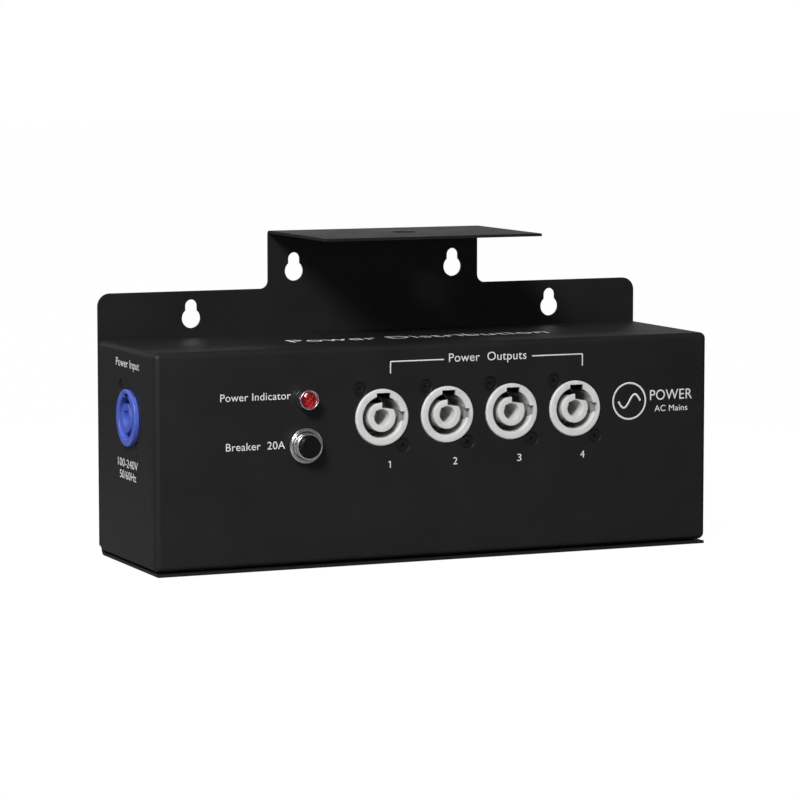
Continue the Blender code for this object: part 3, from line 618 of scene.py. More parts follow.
sideways = Matrix(((0, 0, 1, 0), (1, 0, 0, 0), (0, 1, 0, 0), (0, 0, 0, 1)))
frontways = facing(Vector((0, 0, 0)), FRONTWARDS)
folds = (0, BASE_BEND - SHEET / 2, SHELF_BEND - SHEET / 2, 0)
bracket = grow("mounting_bracket_sheet", path_of(centre_line()), folded_sheet,
               {"fold": ("FLOAT", folds)}, Thickness=SHEET,
               Width=2 * (bracket_high.x + BEYOND), Fold_Steps=10)
bracket.data.transform(sideways)
DEPTH_REACH = 0.06
boolean(bracket, form(add_prism, blank_outline(), -DEPTH_REACH, DEPTH_REACH, frontways), "INTERSECT")
print("blank trimmed to", len(bracket.data.polygons), "faces")

# %% [markdown]
# A keyhole is a round hole that a screw head passes through, with a slot above it that the head
# can't pass. The countersinks for the flush screws are turned cutters, placed where the packed
# screws are.
# %% keyholes, clamp hole and screw seats
KEYHOLES = ((0.0853, 0.1003), (0.0377, 0.1194))
KEY_HEAD, KEY_SLOT, KEY_RISE = 0.0043, 0.00275, 0.0053
CLAMP_HOLE, CLAMP_HOLE_Y = 0.0055, 0.002
SCREW_HEAD, SCREW_SHANK, SCREW_CONE = 0.0028, 0.0015, 0.0013
RIM_GAP = 0.0003


def keyhole_outline():
    """The round hole ends 50 degrees up each side, where the slot takes over."""
    meet = 50
    return (arc((0, 0), KEY_HEAD, 180 - meet, 360 + meet, 40)
            + arc((0, KEY_RISE), KEY_SLOT, 0, 180, 24))


def screw_seat():
    """A countersink and the hole under it, with play all round."""
    head, shank = SCREW_HEAD + RIM_GAP, SCREW_SHANK + RIM_GAP
    above, bottom = 0.001, -0.0042
    return [(0, above), (head, above), (head, -0.0002), (shank, -SCREW_CONE - 0.0001),
            (shank, bottom), (0, bottom)]


def screw_place(node):
    """A frame on a flush screw's head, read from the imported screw's box."""
    low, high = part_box(node)
    centre = (low + high) / 2
    if node.startswith("base"):
        return facing(Vector((centre.x, centre.y, low.z)), -UP, Vector((0, 1, 0)))
    if node.startswith("back"):
        return facing(Vector((centre.x, high.y, centre.z)), -FRONTWARDS)
    if node.startswith("inlet"):
        return facing(Vector((low.x, centre.y, centre.z)), LEFTWARDS)
    return facing(Vector((centre.x, low.y, centre.z)), FRONTWARDS)


screws = sorted(node for node in frame["nodes"] if "_screw" in node)
bracket_screws = [node for node in screws if node.startswith("ba")]
bm = bmesh.new()
for side in (-1, 1):
    for x, z in KEYHOLES:
        spot = Vector((side * x, bracket_high.y - SHEET, z))
        add_prism(bm, keyhole_outline(), THROUGH, -THROUGH, facing(spot, FRONTWARDS))
clamp_spot = Matrix.Translation((0, CLAMP_HOLE_Y, bracket_high.z))
add_turned(bm, punch(CLAMP_HOLE, BEYOND, THROUGH), 64, clamp_spot)
for node in bracket_screws:
    add_turned(bm, screw_seat(), SCREW_SIDES, screw_place(node))
boolean(bracket, bm)
soften(bracket, 0.00028, 2, 40)
hand_over(bracket, "powder_coat", ["mounting_bracket"])

# %% [markdown]
# ## The front cover
# The cover is a pan: front, top, sides and floor folded and welded, with a lip at the rear. A
# rounded box made with a bevel gives the outside, a smaller one hollows it, and the panel cut-outs
# follow. The hollow matters even though it is closed: light that leaks past a socket must find
# real depth.
# %% the hollow pan
EDGE_RADIUS = 0.0027
REAR_LIP, FLOOR_LIP = 0.012, 0.003


def rounded_box(low, high, radius, segments, sharp_y):
    """A block with every edge rounded, except round the face at sharp_y."""
    bm = form(add_block, low, high)
    edges = [e for e in bm.edges if any(abs(v.co.y - sharp_y) > 1e-6 for v in e.verts)]
    bmesh.ops.bevel(bm, geom=edges, offset=radius, segments=segments, profile=0.5, affect="EDGES")
    bmesh.ops.recalc_face_normals(bm, faces=bm.faces)
    return bm


cover = solid("front_cover_shell", rounded_box(cover_low, cover_high, EDGE_RADIUS, 8, cover_high.y))
wall = Vector((SHEET, SHEET, SHEET))
inner_low, inner_high = cover_low + wall, cover_high - wall
boolean(cover, rounded_box(inner_low, inner_high, EDGE_RADIUS - SHEET, 4, inner_high.y))
mouth = cover_high.x - REAR_LIP
boolean(cover, form(add_block, (-mouth, cover_high.y + THROUGH, cover_low.z + FLOOR_LIP),
                    (mouth, cover_high.y - THROUGH, cover_high.z - REAR_LIP)))
relief, past_ends = BASE_BEND + RIM_GAP, 0.2
boolean(cover, form(add_block, (-past_ends, bracket_high.y - relief, 0),
                    (past_ends, bracket_high.y, relief)))
print("pan:", [round(v * 1000, 1) for v in cover_high - cover_low], "mm")

# %% cut-outs for sockets, breaker, lamp and screws
RING_RADIUS, BREAKER_HOLE, LAMP_HOLE = 0.0120, 0.0059, 0.0033
cover_screws = [node for node in screws if node not in bracket_screws]
hole_of = {name: RING_RADIUS + RIM_GAP for name in SOCKETS}
hole_of |= {"breaker": BREAKER_HOLE, "lamp": LAMP_HOLE}
panel_holes = [(punch(hole_of[name], BEYOND, THROUGH), places[name]) for name in hole_of]
drill(cover, panel_holes, RIM_SIDES)
drill(cover, [(screw_seat(), screw_place(node)) for node in cover_screws], SCREW_SIDES)
tapped = punch(SCREW_SHANK + RIM_GAP, -SHEET, -SHEET + THROUGH)
drill(cover, [(tapped, screw_place(node)) for node in bracket_screws], HIDDEN_SIDES)
soften(cover, 0.0001, 2, 40)
hand_over(cover, "powder_coat", ["front_cover"])

# %% [markdown]
# ## The sockets
# Each twist-lock socket is one moulding. From the front it shows an outer ring, a deep groove that
# takes the plug's barrel, and a C-shaped core round the centre bore. The plug can only enter where
# its keys meet the two slots in the ring, and it turns to lock behind the ring's face. The ring
# and core are turned, with small radii in the profile, and the slots, the gap in the core and the
# contact slits are cut out. A flange behind the panel carries the screws.
# %% sizes of the moulding, on its own axis
CORE_RADIUS, BORE_RADIUS, GROOVE_RADIUS = 0.0062, 0.0035, 0.00885
GROOVE_FLOOR, BORE_FLOOR, SOCKET_REAR = -0.016, -0.013, -0.026
KEYWAY_FLOOR, SIDE_KEYWAY_FLOOR, FACE_THICK = -0.0245, -0.0023, 0.0012
PANEL_BACK, ABOVE_FACE = -SHEET - RIM_GAP, 0.004
FLANGE, FLANGE_HALF = 0.0022, (0.0130, 0.0155)
SCREW_AT = (0.0098, 0.0122)
KEYWAY = ((-0.0026, 0.0075), (0.0036, 0.0103))
SIDE_KEYWAY = ((0.0080, -0.0018), (0.0103, 0.0022))
LATCH_POCKET = ((-0.0027, 0.0069), (0.0037, 0.0110))
BORE_NOTCH_TURN, BORE_NOTCH_FLOOR = 137, -0.0115
BORE_NOTCH = rectangle(0.0012, 0.0018, (0, 0.0031))
BLADE_SLIT, BLADE_TURNS = rectangle(0.0046, 0.0014, (0, 0.0075)), (90, 180)
CORE_CUTS = {"outlet": [(0, 0.00395), (0.0068, 0.0029), (0.0068, 0.0050), (0.0048, 0.0070),
                        (0, 0.0072)],
             "inlet": rectangle(0.0042, 0.0048, (0, 0.0048))}
print(f"ring {RING_RADIUS * 2000:.1f} mm across, core {CORE_RADIUS * 2000:.1f} mm")


# %% ring and core in profile
def socket_profile(proud):
    """Bore, core, groove, ring with a lead-in, and the body behind, from axis to axis."""
    core_face, body_radius, body_front = proud - 0.0004, RING_RADIUS - 0.0003, PANEL_BACK - 0.001
    profile = [(0, BORE_FLOOR), (BORE_RADIUS, BORE_FLOOR)]
    profile += inner_lip(BORE_RADIUS, core_face, 0.0003, 4)
    profile += outer_lip(CORE_RADIUS, core_face, 0.0003, 4)
    profile += [(CORE_RADIUS, -FACE_THICK), (CORE_RADIUS, GROOVE_FLOOR)]
    profile += [(GROOVE_RADIUS, GROOVE_FLOOR), (GROOVE_RADIUS, -FACE_THICK)]
    profile += inner_lip(GROOVE_RADIUS, proud, 0.0005, 5)
    profile += outer_lip(RING_RADIUS, proud, 0.0006, 6)
    profile += [(RING_RADIUS, body_front), (body_radius, body_front)]
    return profile + [(body_radius, SOCKET_REAR), (0, SOCKET_REAR)]


# %% flange, keyways and slits
def flange_plate():
    corner = 0.002
    x, y = (half - corner for half in FLANGE_HALF)
    outline = []
    for quarter, (i, j) in enumerate(((1, 1), (-1, 1), (-1, -1), (1, -1))):
        outline += arc((i * x, j * y), corner, quarter * 90, quarter * 90 + 90, 6)
    return form(add_prism, outline, PANEL_BACK - FLANGE, PANEL_BACK)


def pocket(corners, floor, top):
    """The two corners of a block cutter, from its plan and its floor and top."""
    return (*corners[0], floor), (*corners[1], top)


def plug_slots():
    """Two keyways in the ring, the notch in the bore, the screw holes and the blades' slits."""
    bm = form(add_block, *pocket(KEYWAY, -FACE_THICK, ABOVE_FACE))
    add_block(bm, *pocket(SIDE_KEYWAY, SIDE_KEYWAY_FLOOR, ABOVE_FACE))
    turn = radians(BORE_NOTCH_TURN)
    notch = facing(Vector((0, 0, 0)), UP, Vector((cos(turn), sin(turn), 0)))
    add_prism(bm, BORE_NOTCH, BORE_NOTCH_FLOOR, ABOVE_FACE, notch)
    for side in (-1, 1):
        spot = Matrix.Translation((-side * SCREW_AT[0], side * SCREW_AT[1], 0))
        add_turned(bm, punch(SCREW_SHANK + RIM_GAP, 0, -0.006), 20, spot)
    for turn in BLADE_TURNS:
        add_prism(bm, BLADE_SLIT, SOCKET_REAR - BEYOND, GROOVE_FLOOR + 0.0006,
                  Matrix.Rotation(radians(turn), 4, "Z"))
    return bm


# %% [markdown]
# ## Depth marks
# A real groove is dark because little light gets in. The walls could be left to go dark by
# themselves, but pale plastic bounces light a long way in, and the contacts that would swallow it
# are tiny. So each corner keeps its depth in an attribute, and the plastic's finish darkens by it.
# %% mark how deep each corner lies
THROAT_TURNS, THROAT_FROM = (radians(50), radians(112)), 0.0042
SIDE_NOTCH_FROM, SIDE_NOTCH_TO, SIDE_NOTCH_HALF = 0.0078, 0.0108, 0.0025
THROAT_MARK, SIDE_NOTCH_MARK = 30.0, 9.0


def mark_depth(socket):
    """Keep each corner's depth in millimetres, a third of it in the bore, which stays lighter. The
    throat under the latch and the side notch are darker than their depth tells: they get marks."""
    mesh = socket.data
    depth = mesh.attributes.new("depth", "FLOAT", "CORNER")
    for item, loop in zip(depth.data, mesh.loops):
        x, y, z = mesh.vertices[loop.vertex_index].co
        radius, under_face = hypot(x, y), z < -0.0009
        item.value = -333 * z if radius < BORE_RADIUS + 0.0001 else -1000 * z
        # Painted shade: the throat under the latch and the side notch get marks that paint them darker
        # than their depth.
        if under_face and radius > THROAT_FROM and THROAT_TURNS[0] < atan2(y, x) < THROAT_TURNS[1]:
            item.value = THROAT_MARK
        elif under_face and x > SIDE_NOTCH_FROM and abs(y) < SIDE_NOTCH_HALF and radius < SIDE_NOTCH_TO:
            item.value = SIDE_NOTCH_MARK


# %% one socket, put together
def make_socket(kind, proud):
    socket = solid(kind + "_pattern", form(add_turned, socket_profile(proud), RIM_SIDES))
    flange = solid(kind + "_flange", flange_plate())
    boolean(flange, form(add_turned, punch(RING_RADIUS - 0.0010, ABOVE_FACE, -0.008), RIM_SIDES))
    bm = bmesh.new()
    bm.from_mesh(flange.data)
    bpy.data.objects.remove(flange, do_unlink=True)
    boolean(socket, bm, "UNION")
    boolean(socket, form(add_prism, CORE_CUTS[kind], KEYWAY_FLOOR, ABOVE_FACE))
    boolean(socket, form(add_block, *pocket(LATCH_POCKET, KEYWAY_FLOOR, -FACE_THICK + 0.0001)))
    boolean(socket, plug_slots())
    soften(socket, 0.00014, 2, 38)
    mark_depth(socket)
    print(kind, "moulding:", len(socket.data.polygons), "faces")
    return socket


# %% [markdown]
# ## Copies on points
# The four outlets are one moulding used four times, and all sixteen screws are one screw. So one
# tree puts a copy of a pattern on each seed point and turns it to the rotation stored there. A
# twist can be added from one copy to the next, for screws, which stop at any angle.
# %% put copies on points
def copies_tree(name, finish):
    tree = Tree(name, {"Pattern": ("Object", None), "Twist Step": ("Float", 0.0)})
    points = tree.node("GeometryNodeMeshToPoints", {"Mesh": tree.inputs["Geometry"]})
    turn = tree.node("GeometryNodeInputNamedAttribute", {"Name": "turn"}, data_type="QUATERNION")
    shape = tree.node("GeometryNodeObjectInfo", {"Object": tree.inputs["Pattern"]}, out="Geometry")
    angle = tree.maths("MULTIPLY", tree.node("GeometryNodeInputIndex"), tree.inputs["Twist Step"])
    twist = tree.node("FunctionNodeAxisAngleToRotation", {"Axis": (0, 0, 1), "Angle": angle})
    placed = tree.node("FunctionNodeRotateRotation", {"Rotation": turn, "Rotate By": twist},
                       rotation_space="LOCAL")
    copies = tree.node("GeometryNodeInstanceOnPoints", {"Points": points, "Instance": shape,
                                                        "Rotation": placed})
    return tree.close(copies, finish)


def place_copies(name, finish, nodes, spots, pattern, twist=0.0):
    bm = bmesh.new()
    for spot in spots:
        bm.verts.new(spot.translation)
    turns = [spot.to_quaternion() for spot in spots]
    copies = grow(name, bm, copies_tree(name, finish), {"turn": ("QUATERNION", turns)},
                  Pattern=pattern, Twist_Step=twist)
    return hand_over(copies, finish, nodes)


# %% place the sockets
for kind, names in (("inlet", ["inlet"]), ("outlet", OUTLETS)):
    ring_node = names[0] + "_housing"
    ring_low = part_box(ring_node)[0]
    proud = cover_low.x - ring_low.x if kind == "inlet" else cover_low.y - ring_low.y
    pattern = make_socket(kind, proud)
    place_copies(kind + "_mouldings", kind + "_plastic", [name + "_housing" for name in names],
                 [places[name] for name in names], pattern)
    bpy.data.objects.remove(pattern, do_unlink=True)

# %% [markdown]
# ## Countersunk screws
# Sixteen flush screws hold the sockets and the cover. One screw is turned and its cross recess is
# cut, narrower at the bottom. A golden-angle step twists each copy, so the heads look random but
# never change from one run to the next.
# %% one screw
SCREW_TIP, SCREW_STRAIGHT, SCREW_END = 0.0011, -0.0074, -0.0079
RECESS_ARM, RECESS_HALF, RECESS_FLOOR, RECESS_TAPER = 0.00165, 0.00036, -0.0014, 0.35


def make_screw_pattern():
    head, arm, half = SCREW_HEAD, RECESS_ARM, RECESS_HALF
    profile = [(0, -0.00025), (head * 0.55, -0.00022), (head - 0.00035, -0.0002)]
    profile += arc((head - 0.0003, -0.0005), 0.0003, 85, -20, 4)
    profile += [(SCREW_SHANK, -SCREW_CONE - 0.0003), (SCREW_SHANK, SCREW_STRAIGHT),
                (SCREW_TIP, SCREW_END), (0, SCREW_END)]
    screw = solid("screw_pattern", form(add_turned, profile, SCREW_SIDES))
    cross = [(half, half), (arm, half), (arm, -half), (half, -half), (half, -arm), (-half, -arm),
             (-half, -half), (-arm, -half), (-arm, half), (-half, half), (-half, arm), (half, arm)]
    bm = form(add_prism, cross, RECESS_FLOOR, 0.001)
    for vert in bm.verts:
        if vert.co.z < 0:
            vert.co.xy *= RECESS_TAPER
    boolean(screw, bm)
    soften(screw, 0.00006, 1, 35)
    return screw


# %% place the screws
GOLDEN_ANGLE = 2.4  # radians
screw_pattern = make_screw_pattern()
for name, nodes in (("socket_screws", cover_screws), ("bracket_screws", bracket_screws)):
    place_copies(name, "black_steel", nodes, [screw_place(node) for node in nodes], screw_pattern,
                 GOLDEN_ANGLE)
bpy.data.objects.remove(screw_pattern, do_unlink=True)

# %% [markdown]
# ## The breaker's neck, nut and button
# The neck is a threaded tube, the nut a ring with a sloping face, and the button a short rod whose
# edge is rounded. A thread could be a swept profile joined to the tube, but that leaves the tube's
# wall inside it. Here the tree moves the tube's own outer points in and out, by how far round and
# how far along they are, so the thread is part of the tube.
# %% a thread cut by moving points
def thread_tree():
    tree = Tree("cut_thread", {"Pitch": ("Float", 0.00075), "Depth": ("Float", 0.0003),
                               "Radius": ("Float", 0.005), "From": ("Float", 0.0),
                               "To": ("Float", 0.004)})
    x, y, z = tree.split(tree.node("GeometryNodeInputPosition"))
    turns = tree.maths("DIVIDE", tree.maths("ARCTAN2", y, x), 2 * pi)
    rise = tree.maths("DIVIDE", z, tree.inputs["Pitch"])
    wave = tree.maths("PINGPONG", tree.maths("ADD", rise, turns), 0.5)
    cut = tree.maths("MULTIPLY", tree.maths("MULTIPLY", wave, 2.0), tree.inputs["Depth"])
    radius = tree.maths("SQRT", tree.maths("ADD", tree.maths("MULTIPLY", x, x),
                                           tree.maths("MULTIPLY", y, y)))
    shrink = tree.maths("SUBTRACT", 1.0, tree.maths("DIVIDE", cut, radius))
    outer = tree.maths("GREATER_THAN", radius, tree.maths("SUBTRACT", tree.inputs["Radius"], 1e-5))
    above = tree.maths("GREATER_THAN", z, tree.inputs["From"])
    below = tree.maths("LESS_THAN", z, tree.inputs["To"])
    chosen = tree.maths("MULTIPLY", outer, tree.maths("MULTIPLY", above, below))
    moved = tree.node("ShaderNodeCombineXYZ", {0: tree.maths("MULTIPLY", x, shrink),
                                               1: tree.maths("MULTIPLY", y, shrink), 2: z})
    threaded = tree.node("GeometryNodeSetPosition", {"Geometry": tree.inputs["Geometry"],
                                                     "Selection": chosen, "Position": moved})
    return tree.close(threaded, "chrome")


NECK_RADIUS, NECK_BORE, NECK_FRONT, NECK_REAR = 0.0056, 0.0047, 0.006, -0.005
THREAD_TOP, THREAD_DEPTH, THREAD_ROWS = 0.0046, 0.00028, 90
neck_profile = inner_lip(NECK_BORE, NECK_FRONT, 0.0002, 3)
neck_profile += outer_lip(NECK_RADIUS, NECK_FRONT, 0.0003, 4)
rows_from = NECK_FRONT - 0.0004
neck_profile += [(NECK_RADIUS, rows_from + (NECK_REAR - rows_from) * k / THREAD_ROWS)
                 for k in range(THREAD_ROWS + 1)]
neck_profile += [(NECK_BORE, NECK_REAR)]
neck = grow("breaker_neck_threaded", form(add_turned, neck_profile, 72, closed=True), thread_tree(),
            Radius=NECK_RADIUS, From=NECK_REAR + 0.0003, To=THREAD_TOP, Depth=THREAD_DEPTH)
neck.data.transform(places["breaker"])
hand_over(neck, "chrome", ["breaker_neck"])

# %% the ring nut and the button
def turned_piece(name, profile, place, finish, nodes, closed=False):
    piece = solid(name, form(add_turned, profile, RIM_SIDES, place, closed), sharp=40)
    return hand_over(piece, finish, nodes)


NUT_RADIUS, NUT_FRONT = 0.00745, 0.0028
inside = NECK_RADIUS + RIM_GAP
nut_profile = [(inside, NUT_FRONT - 0.0009), (NUT_RADIUS - 0.0007, NUT_FRONT - 0.0001)]
nut_profile += arc((NUT_RADIUS - 0.0005, NUT_FRONT - 0.0002), 0.0002, 120, 60, 4)
nut_profile += arc((NUT_RADIUS - 0.0003, NUT_FRONT - 0.0006), 0.0003, 50, 0, 4)
nut_profile += [(NUT_RADIUS, 0.0006), (NUT_RADIUS - 0.0002, 0.0003), (inside, 0.0003)]
turned_piece("breaker_ring_nut", nut_profile, places["breaker"], "chrome", ["breaker_nut"],
             closed=True)

BUTTON_RADIUS, BUTTON_FLANGE, BUTTON_STEM = 0.0045, 0.0053, 0.002
FLANGE_FRONT, FLANGE_REAR = -0.0098, -0.0113
button_low, button_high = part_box("breaker_button")
button_front = cover_low.y - button_low.y
button_rear = cover_low.y - button_high.y
button_profile = [(0, button_front - 0.0001), (0.0030, button_front - 0.00004)]
button_profile += outer_lip(BUTTON_RADIUS, button_front, 0.0006, 6)
button_profile += [(BUTTON_RADIUS, FLANGE_FRONT), (BUTTON_FLANGE, FLANGE_FRONT),
                   (BUTTON_FLANGE, FLANGE_REAR), (BUTTON_STEM, FLANGE_REAR),
                   (BUTTON_STEM, button_rear), (0, button_rear)]
turned_piece("breaker_push_button", button_profile, places["breaker"], "button_plastic",
             ["breaker_button"])

# %% [markdown]
# ## The indicator lamp
# A chrome bezel holds a red lens just inside its rim. A lens like this is moulded with small
# facets, so that the lamp glitters from every side. The tree sinks every second point of the
# dome's rings, like the dark squares of a chessboard, and splits the faces into flat triangles.
# %% bezel
LAMP_RADIUS, LAMP_RIM, LENS_SEAT = 0.0042, 0.00375, 0.0042
BARREL_RADIUS, BARREL_BORE, BARREL_REAR = 0.003, 0.0023, -0.012
LAMP_FRONT = cover_low.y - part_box("lamp_bezel")[0].y
bezel_profile = [(LAMP_RIM, LENS_SEAT), (LAMP_RIM, LAMP_FRONT - 0.0002)]
bezel_profile += arc((LAMP_RIM + 0.0002, LAMP_FRONT - 0.0002), 0.0002, 180, 0, 6)
bezel_profile += [(LAMP_RADIUS, 0.0011), (LAMP_RADIUS - 0.0001, 0.0009), (LAMP_RADIUS, 0.0007),
                  (LAMP_RADIUS, 0.0003), (BARREL_RADIUS, 0.0003), (BARREL_RADIUS, BARREL_REAR),
                  (BARREL_BORE, BARREL_REAR), (BARREL_BORE, LENS_SEAT)]
turned_piece("lamp_bezel_tube", bezel_profile, places["lamp"], "chrome", ["lamp_bezel"],
             closed=True)


# %% faceted lens
def facet_tree():
    tree = Tree("cut_facets", {"Depth": ("Float", 0.0003), "Front": ("Float", 0.004),
                               "Sides": ("Float", 12.0)})
    index = tree.node("GeometryNodeInputIndex")
    ring = tree.maths("FLOOR", tree.maths("DIVIDE", tree.maths("SUBTRACT", index, 1.0),
                                          tree.inputs["Sides"]))
    odd = tree.maths("FLOORED_MODULO", tree.maths("ADD", index, ring), 2.0)
    height = tree.split(tree.node("GeometryNodeInputPosition"))[2]
    front = tree.maths("GREATER_THAN", height, tree.inputs["Front"])
    sink = tree.maths("MULTIPLY", tree.maths("MULTIPLY", odd, front), tree.inputs["Depth"])
    down = tree.node("ShaderNodeCombineXYZ", {2: tree.maths("MULTIPLY", sink, -1.0)})
    cut = tree.node("GeometryNodeSetPosition", {"Geometry": tree.inputs["Geometry"],
                                                "Offset": down})
    facets = tree.node("GeometryNodeTriangulate", {"Mesh": cut})
    flat = tree.node("GeometryNodeSetShadeSmooth", {"Geometry": facets, "Shade Smooth": False})
    return tree.close(flat, "lamp_red")


LENS_RADIUS, LENS_SIDES, FACET_DEPTH = LAMP_RIM - RIM_GAP, 10, 0.0005
DOME_RADIUS, DOME_CENTRE = 0.0104, LENS_SEAT - 0.0085
crown = arc((0, DOME_CENTRE), DOME_RADIUS, 90, 72, 3)
lens_profile = [(0, crown[0][1])] + crown[1:] + [
    (LENS_RADIUS, LENS_SEAT + 0.0010), (LENS_RADIUS, LENS_SEAT + RIM_GAP), (0, LENS_SEAT + RIM_GAP)]
lens = grow("lamp_faceted_lens", form(add_turned, lens_profile, LENS_SIDES), facet_tree(),
            Front=LENS_SEAT + 0.0012, Depth=FACET_DEPTH, Sides=float(LENS_SIDES))
lens.data.transform(places["lamp"])
hand_over(lens, "lamp_red", ["lamp_lens"])

# %% [markdown]
# ## The printed legends
# White ink is screen-printed on the coat, about a fiftieth of a millimetre thick. It could be a
# picture laid on the panel, but real letters stay sharp at any distance. Text made from a font
# curve comes filled. It is turned into a flat mesh, moved to its place and given the ink's
# thickness. Every legend only says what the part beside it does.
# %% print words
INK = 0.00002


def print_words(name, words, height, width, place):
    """Words of a given letter height and total width, centred on a frame on the panel."""
    curve = bpy.data.curves.new(name, "FONT")
    curve.body, curve.align_x, curve.align_y = words, "LEFT", "BOTTOM_BASELINE"
    curve.size, curve.space_character = 1.0, 1.04
    lettering = add_object(name, curve)
    depsgraph = bpy.context.evaluated_depsgraph_get()
    mesh = bpy.data.meshes.new_from_object(lettering.evaluated_get(depsgraph))
    bpy.data.objects.remove(lettering, do_unlink=True)
    low_x = min(v.co.x for v in mesh.vertices)
    high_x = max(v.co.x for v in mesh.vertices)
    high_y = max(v.co.y for v in mesh.vertices)
    stretch = Matrix.Diagonal((width / (high_x - low_x), height / high_y, 1, 1))
    centring = Matrix.Translation((-(low_x + high_x) / 2, 0, 0))
    mesh.transform(place @ Matrix.Translation((0, 0, INK)) @ stretch @ centring)
    piece = add_object(name, mesh)
    skin = piece.modifiers.new("ink", "SOLIDIFY")
    skin.thickness, skin.offset = INK, -1
    settle(piece)
    return hand_over(piece, "legend_white")


def front_spot(x, z):
    return facing(Vector((x, cover_low.y, z)), FRONTWARDS)


def left_spot(y, z):
    return facing(Vector((cover_low.x, y, z)), LEFTWARDS)


outlet_x = [places[name].translation.x for name in OUTLETS]
DIGIT_HEIGHT, DIGIT_X, DIGIT_Z = 0.0031, 0.0038, 0.0405
LEGENDS = [
    ("legend_lamp", "Power Indicator", 0.0031, 0.0312, front_spot(-0.0832, 0.0714)),
    ("legend_breaker", "Breaker  20A", 0.0032, 0.0262, front_spot(-0.0833, 0.0508)),
    ("legend_outlets", "Power  Outputs", 0.0036, 0.0362, front_spot(0.0224, 0.0842))]
LEGENDS += [(f"legend_digit_{number}", str(number), DIGIT_HEIGHT, 0.0020,
             front_spot(x + DIGIT_X, DIGIT_Z)) for number, x in enumerate(outlet_x[1:], 2)]
LEGENDS += [
    ("legend_inlet", "Power Input", 0.0034, 0.0290, left_spot(-0.0028, 0.0838)),
    ("legend_voltage", "100-240V", 0.0034, 0.0250, left_spot(-0.0024, 0.0418)),
    ("legend_frequency", "50/60Hz", 0.0034, 0.0205, left_spot(-0.0024, 0.0368)),
    ("legend_top", "Power Distribution", 0.0100, 0.1200,
     facing(Vector((0.004, -0.010, cover_high.z)), UP, Vector((0, 1, 0))))]
for legend in LEGENDS:
    print_words(*legend)

# %% [markdown]
# ## The bracket lines and the emblem
# Two thin lines tie the words above the outlets to the first and the last outlet. The emblem is a
# plain sign for alternating current, a wave in a circle, with the word POWER beside it. These lines
# and the thin figure 1 are strips of ink, so the strip tree from the folded sheet does them too,
# with folds for the lines that turn a corner and without for the circle and the wave.
# %% ink lines along a path
printed_rule = strip_tree("printed_rule", "legend_white")
printed_curve = strip_tree("printed_curve", "legend_white", folds=False)


def print_line(name, points, width, place, tree=printed_rule, loop=False):
    """A line of ink; at the corners of a rule the ink turns with a small radius."""
    folds = {"fold": ("FLOAT", [width / 2] * len(points))}
    line = grow(name, path_of(points, loop), tree, folds, Thickness=width, Width=INK, Fold_Steps=3)
    line.data.transform(place @ Matrix.Translation((0, 0, INK / 2)))
    return hand_over(line, "legend_white")


RULE_WIDTH, RULE_Z, RULE_DROP = 0.00055, 0.0853, 0.0050
rule_left, rule_right = outlet_x[0] + 0.0040, outlet_x[-1] + 0.0036
words_left, words_right = 0.0020, 0.0431
left_points = [(rule_left, RULE_Z - RULE_DROP), (rule_left, RULE_Z), (words_left, RULE_Z)]
right_points = [(words_right, RULE_Z), (rule_right, RULE_Z), (rule_right, RULE_Z - RULE_DROP)]
print_line("rule_left", left_points, RULE_WIDTH, front_spot(0, 0))
print_line("rule_right", right_points, RULE_WIDTH, front_spot(0, 0))
one = [(-0.0007, 0.0023), (0.0001, DIGIT_HEIGHT - 0.0001), (0.0001, 0)]
print_line("legend_digit_1", one, 0.00048, front_spot(outlet_x[0] + DIGIT_X, DIGIT_Z))

EMBLEM_RADIUS, WAVE_REACH, WAVE_HEIGHT = 0.0078, 0.0053, 0.0029
WORD_X, EMBLEM_Z = 0.1100, 0.0640
emblem = front_spot(0.0898, EMBLEM_Z)
circle = arc((0, 0), EMBLEM_RADIUS, 0, 360, 60)[:-1]
wave = [(WAVE_REACH * t, WAVE_HEIGHT * sin(pi * t)) for t in (k / 12 - 1 for k in range(25))]
print_line("emblem_circle", circle, 0.0008, emblem, printed_curve, loop=True)
print_line("emblem_wave", wave, 0.0009, emblem, printed_curve)
print_words("emblem_word", "POWER", 0.0044, 0.0205, front_spot(WORD_X, EMBLEM_Z))
print_words("emblem_line", "AC Mains", 0.0026, 0.0160, front_spot(WORD_X, 0.0590))

# %% [markdown]
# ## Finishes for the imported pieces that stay
# Inside the cover the wires, blades, terminals and the breaker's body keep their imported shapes.
# They only need their finishes, looked up by the slot that the record gives each node.
# %% paint what stays
kept = [node for node, thing in frame["nodes"].items() if not thing.hide_render]
for node in kept:
    thing = frame["nodes"][node]
    thing.data.materials.clear()
    thing.data.materials.append(finishes[slot_of[node]])
print(len(kept), "packed nodes keep their shape")

# %% [markdown]
# ## Floor, light and camera
# The box stands on a pale table under soft studio light. The key softbox at the upper left gives
# the sockets their brightness. A low one in front reaches under the shelf, one overhead draws the
# bright lines on the chrome, one at the side gives the inlet panel its sheen, and a long low one
# behind glances off the shelf. The floor could be plain white all over, but the black paint would
# catch its light and turn grey. So it fades to dark beyond the table, and an even glow that only
# the camera sees keeps it pale. The camera has a long lens, as used for catalogue pictures, and
# stands to the left, slightly above.
# %% floor and world
FLOOR_WIDTH = 12.0
TABLE_EDGE, ROOM_FROM = 0.26, 0.55
GLOW, GLOW_SHARE = 1.1, 0.9


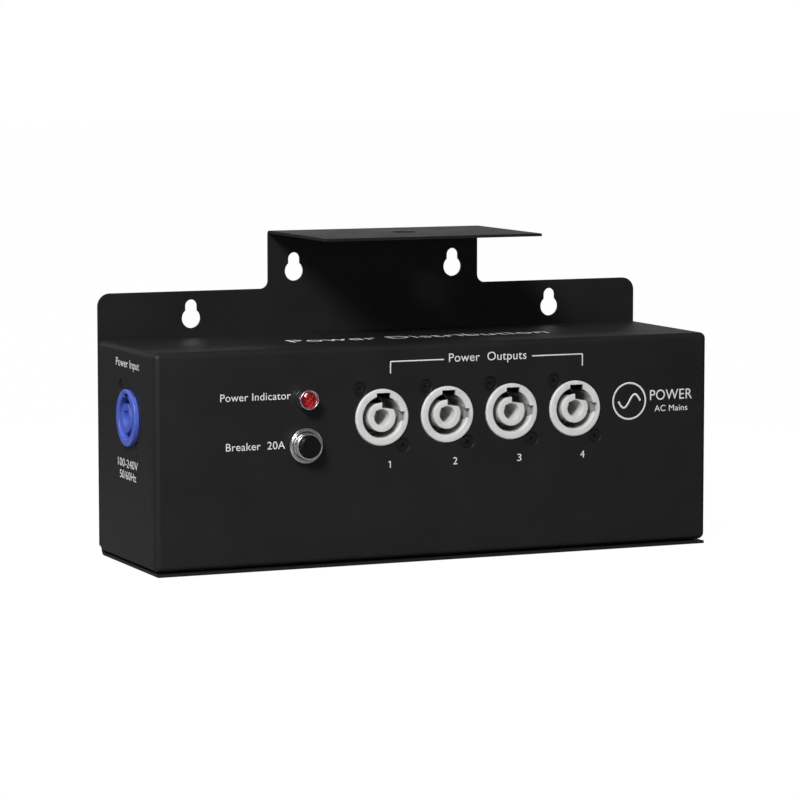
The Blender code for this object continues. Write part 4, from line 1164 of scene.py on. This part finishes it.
def make_floor():
    floor = solid("studio_floor", form(add_prism, rectangle(FLOOR_WIDTH, FLOOR_WIDTH), -0.02, -0.0002))
    paper = Finish("floor_paper", (0.2, 0.2, 0.2), 0.7)
    tone = paper.levels(paper.noise(3.0), 0.3, 0.7)
    away = paper.node("VectorMath", {0: paper.where}, "Value", operation="LENGTH")
    table = paper.blend(tone, (0.31, 0.31, 0.31), (0.28, 0.28, 0.28))
    table = paper.blend(paper.levels(away, TABLE_EDGE, ROOM_FROM), table, (0.06, 0.06, 0.06))
    paper.set(paper.shader, {"Base Color": table})
    glow = paper.node("Emission", {"Strength": GLOW})
    seen = paper.node("LightPath", out="Is Camera Ray")
    mixed = paper.node("MixShader", {0: paper.maths("MULTIPLY", seen, GLOW_SHARE),
                                     1: paper.shader.outputs[0], 2: glow})
    paper.set(paper.tree.nodes["Material Output"], {"Surface": mixed})
    floor.data.materials.append(paper.material)


def make_world(backdrop, ambient):
    """An even white world: the backdrop as the camera sees it, and the light that it gives."""
    world = bpy.data.worlds.new("studio")
    bpy.context.scene.world = world
    world.use_nodes = True
    nodes, links = world.node_tree.nodes, world.node_tree.links
    seen = nodes.new("ShaderNodeLightPath")
    level = nodes.new("ShaderNodeMapRange")
    level.inputs["To Min"].default_value = ambient
    level.inputs["To Max"].default_value = backdrop
    links.new(seen.outputs["Is Camera Ray"], level.inputs["Value"])
    links.new(level.outputs[0], nodes["Background"].inputs["Strength"])
    nodes["Background"].inputs["Color"].default_value = (1, 1, 1, 1)


make_floor()
make_world(backdrop=1.0, ambient=0.11)


# %% softboxes
LIGHT_TARGET = Vector((0, 0, 0.06))


def softbox(name, spot, size, power):
    """A rectangular lamp of a given width and height in metres, turned to the box."""
    lamp = bpy.data.lights.new(name, "AREA")
    lamp.shape, lamp.size, lamp.size_y, lamp.energy = "RECTANGLE", size[0], size[1], power
    holder = add_object(name, lamp)
    holder.location = spot
    aim = LIGHT_TARGET - Vector(spot)
    holder.rotation_euler = aim.to_track_quat("-Z", "Y").to_euler()
    print(f"{name}: {power} W, {aim.length:.2f} m away")


softbox("key", (-1.3, -1.5, 1.4), (0.6, 0.6), 53)
softbox("front", (-0.6, -2.3, 0.28), (1.0, 0.4), 3)
softbox("overhead", (-0.9, 0.2, 1.6), (1.0, 1.0), 8)
softbox("side", (-2.2, 1.4, 0.6), (1.0, 0.8), 2)
softbox("backdrop", (0.2, 2.2, 0.62), (3.4, 0.64), 4.5)

# %% camera
camera_data = bpy.data.cameras.new("camera")
camera = add_object("camera", camera_data)
bpy.context.scene.camera = camera
FOCAL_LENGTH, FILM_WIDTH = 163.4, 36.0
AZIMUTH, ELEVATION = radians(-23.38), radians(5.986)
STAND = (-0.62052, -1.42918, 0.22811)
camera_data.lens, camera_data.sensor_width = FOCAL_LENGTH, FILM_WIDTH
camera_data.clip_end = 20.0
back = Vector((sin(AZIMUTH) * cos(ELEVATION), -cos(AZIMUTH) * cos(ELEVATION), sin(ELEVATION)))
camera.location = STAND
camera.rotation_euler = (-back).to_track_quat("-Z", "Y").to_euler()
bpy.context.scene.view_settings.view_transform = "Standard"
print("camera", [round(v, 3) for v in camera.location])
